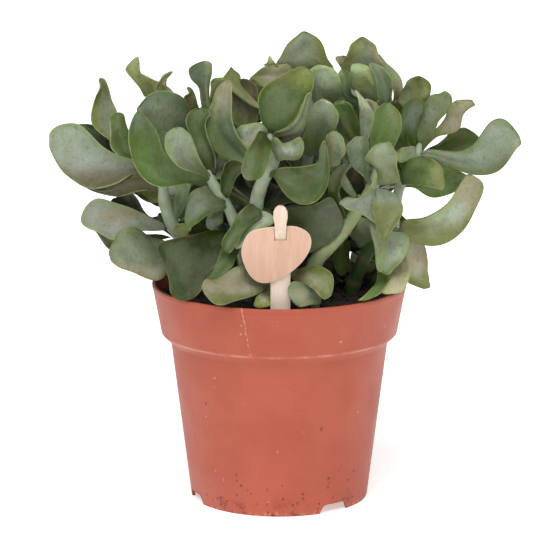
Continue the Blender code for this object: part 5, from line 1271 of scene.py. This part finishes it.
def stemMaterial():
    paint = Paint("youngStem")
    tone = paint.node("Attribute", attribute_name="tone").outputs["Color"]
    cloud = paint.noise(260.0, 4.0)
    fibre = paint.noise(400.0, 3.0, (1.0, 1.0, 0.2))
    colour = paint.mixed(paint.ranged(cloud, 0.35, 0.7, 0.0, 0.6), tone,
                         paint.tinted(tone, plant["stemLight"]))
    colour = paint.mixed(paint.ranged(fibre, 0.55, 0.75, 0.0, 0.4), colour,
                         paint.tinted(tone, plant["stemDark"]))
    return paint.finish({"Base Color": colour, "Roughness": 0.55, "Subsurface Weight": 0.1,
                         "Subsurface Radius": (0.6, 1.0, 0.4), "Subsurface Scale": 0.002},
                        paint.plus(cloud, fibre), 0.35, 0.0005)


def pressed(bm, around, along, shape):
    # a sphere pressed into a blade or a stem: shape(vertex, t, angle) gives each point
    made = bmesh.ops.create_uvsphere(bm, u_segments=around, v_segments=along, radius=1.0)
    for v in made["verts"]:
        t = math.acos(max(-1.0, min(1.0, -v.co.z))) / math.pi
        v.co = shape(v, t, math.atan2(v.co.y, v.co.x)) * mm


def openness(point):  # 0 deep in the plant, 1 at its outside
    across = eased(*plant["openAcross"], math.hypot(point.x, point.y))
    return max(across, eased(*plant["openUp"], point.z))


# painted shade: darkens a colour by how little light reaches that place
def inPaintedShade(colour, light):
    return colour * (plant["deepestShade"] + (1 - plant["deepestShade"]) * light)


def paintLeaf(leaf, rng):
    body, rim = leaf.tones.split("/")
    marks = list(zip(body[1::2], body[2::2]))
    # painted light and shade: the level lightens or darkens the whole leaf for how lit it looks
    level = plant["levels"][rim[1:]] * rng.uniform(0.95, 1.05)
    corners = [toSheet(leaf.point(t, s, 0)) for t in (0.1, 0.4, 0.7, 0.95) for s in (-0.9, 0, 0.9)]
    lows, highs = [[pick(spots) for spots in zip(*corners)] for pick in (min, max)]
    middle = [(low + high) / 2 for low, high in zip(lows, highs)]
    half = [max(4.0, (high - low) / 2) for low, high in zip(lows, highs)]

    def tone(point):
        u, v = toSheet(point)
        spot = Vector(((u - middle[0]) / half[0], (middle[1] - v) / half[1]))
        waver = noise.noise(point * 0.12) * 0.35
        colour = toneOf[body[0]].copy()
        for mark, key in marks:
            if mark == "=":
                share = 1 - eased(0.25, 0.85, spot.length + waver)
            else:
                share = eased(0.05, 0.8, spot.dot(headings[mark]) + waver)
            colour = colour.lerp(toneOf[key], share)
        if leaf.shaded:  # painted shade: added leaves deep in the plant are darker
            colour = inPaintedShade(colour, openness(point))
        return colour * level

    return tone, toneOf[rim[0]] * level ** 0.5


def growLeaf(bm, leaf, layers, rng):
    tone, rim = paintLeaf(leaf, rng)
    number = rng.uniform(0, 50)
    size = min(1.0, leaf.width / 14)

    def shape(v, t, angle):
        t = math.sin(t * math.pi / 2)
        s = math.cos(angle)
        rise = math.sin(angle)
        lift = math.copysign(abs(rise) ** 0.8, rise) * leaf.thickness(t) * plant["slim"] / 2
        if t > 0.9:
            lift *= math.sqrt(max(0.0, 1 - ((t - 0.9) / 0.1) ** 2)) * 0.6 + 0.4 * (1 - t) / 0.1
        dent = noise.noise(Vector((t * 2.6, s * 1.4, number))) * plant["dents"]
        fold = plant["fold"] * math.exp(-(s * 3.2) ** 2)
        hollow = plant["cup"] * (0.4 - s * s)
        lift += (dent - fold - hollow) * size * min(1.0, 3 * t) * (1 - t ** 4)
        wander = noise.noise(Vector((t * 5, math.copysign(9, s), number))) * plant["uneven"] * size
        point = leaf.point(t, s, lift, leaf.spread + leaf.flare + wander, plant["ruffle"] * size)
        v[layers["tone"]] = (*tone(point), 1.0)
        v[layers["rim"]] = (*rim, 1.0)
        v[layers["edgeGap"]] = leaf.halfWidth(t) * (1 - abs(s)) + max(0.0, 0.2 - t) * 20
        return point

    pressed(bm, plant["around"], plant["along"], shape)


def growStem(bm, stem, layers):
    rings = stem.rings()
    lengths = [0.0]
    for low, high in zip(rings, rings[1:]):
        lengths.append(lengths[-1] + (high[0] - low[0]).length)
    count = int(lengths[-1] / plant["stemStep"])
    centres, radii = [], []
    for k in range(count + 1):
        reach = lengths[-1] * k / count
        j = max(i for i in range(len(rings) - 1) if lengths[i] <= reach)
        t = (reach - lengths[j]) / (lengths[j + 1] - lengths[j])
        centres.append(rings[j][0].lerp(rings[j + 1][0], t))
        radii.append(rings[j][1] + (rings[j + 1][1] - rings[j][1]) * t)
    for _ in range(2):  # eases the corners between the rings
        inner = [centres[k] * 0.5 + (centres[k - 1] + centres[k + 1]) * 0.25 for k in range(1, count)]
        centres[1:-1] = inner
    side = Vector((1, 0, 0))
    sides = []
    for k in range(count + 1):
        ahead = (centres[min(k + 1, count)] - centres[max(k - 1, 0)]).normalized()
        side = (side - ahead * side.dot(ahead)).normalized()
        sides.append((side, ahead.cross(side)))
    # painted shade: stems e and f are dark green at the foot, and stem e at its top too
    foot = plant["stemShade" if stem.name in "ef" else "stemFoot"]
    pale = plant["stemTops"].get(stem.name, plant["stemPale"])

    def shape(v, t, angle):
        k = min(count, max(0, round(t * count)))
        here, (across, up) = centres[k], sides[k]
        end = min(1.0, 12 * min(t, 1 - t))
        step = plant["knotStep"]
        knot = math.exp(-((lengths[-1] * k / count) % step - step / 2) ** 2 / plant["knotSpread"])
        wide = radii[k] * (1.04 + plant["knot"] * knot) * math.sqrt(max(0.0, end * (2 - end)))
        point = here + (across * math.cos(angle) + up * math.sin(angle)) * wide
        colour = foot.lerp(pale, eased(soil["top"], soil["top"] + 45, here.z))
        colour = colour.lerp(plant["stemRing"], 0.5 * knot)
        # painted shade: stems behind and deep inside the plant are darkened
        opened = max(openness(point), 1 - eased(*plant["openFront"], point.y))
        v[layers["tone"]] = (*inPaintedShade(colour, opened), 1.0)
        v[layers["rim"]] = (*plant["stemPale"], 1.0)
        v[layers["edgeGap"]] = 5.0
        return point

    pressed(bm, plant["stemSides"], count, shape)
    for face in bm.faces:
        face.material_index = 1


def makePlant():
    materials = [leafMaterial(), stemMaterial()]
    leaves = placeLeaves()
    for name, stem in stems.items():
        rng = random.Random("leafy" + name)
        bm = bmesh.new()
        layers = {key: bm.verts.layers.float_color.new(key) for key in ("tone", "rim")}
        layers["edgeGap"] = bm.verts.layers.float.new("edgeGap")
        growStem(bm, stem, layers)
        for leaf in leaves:
            if leaf.stem == stem:
                growLeaf(bm, leaf, layers, rng)
        bmesh.ops.recalc_face_normals(bm, faces=bm.faces)
        made = newPiece("leafyStem" + name.upper(), bm, materials, True)
        smooth = made.modifiers.new("smooth", "SUBSURF")
        smooth.levels = smooth.render_levels = 1
        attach(made, "root")
        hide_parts("leafy_stem_" + name)
    print("plant made")


makeStudio()
makePot()
makeSoil()
makeStick()
makePlate()
makePlant()
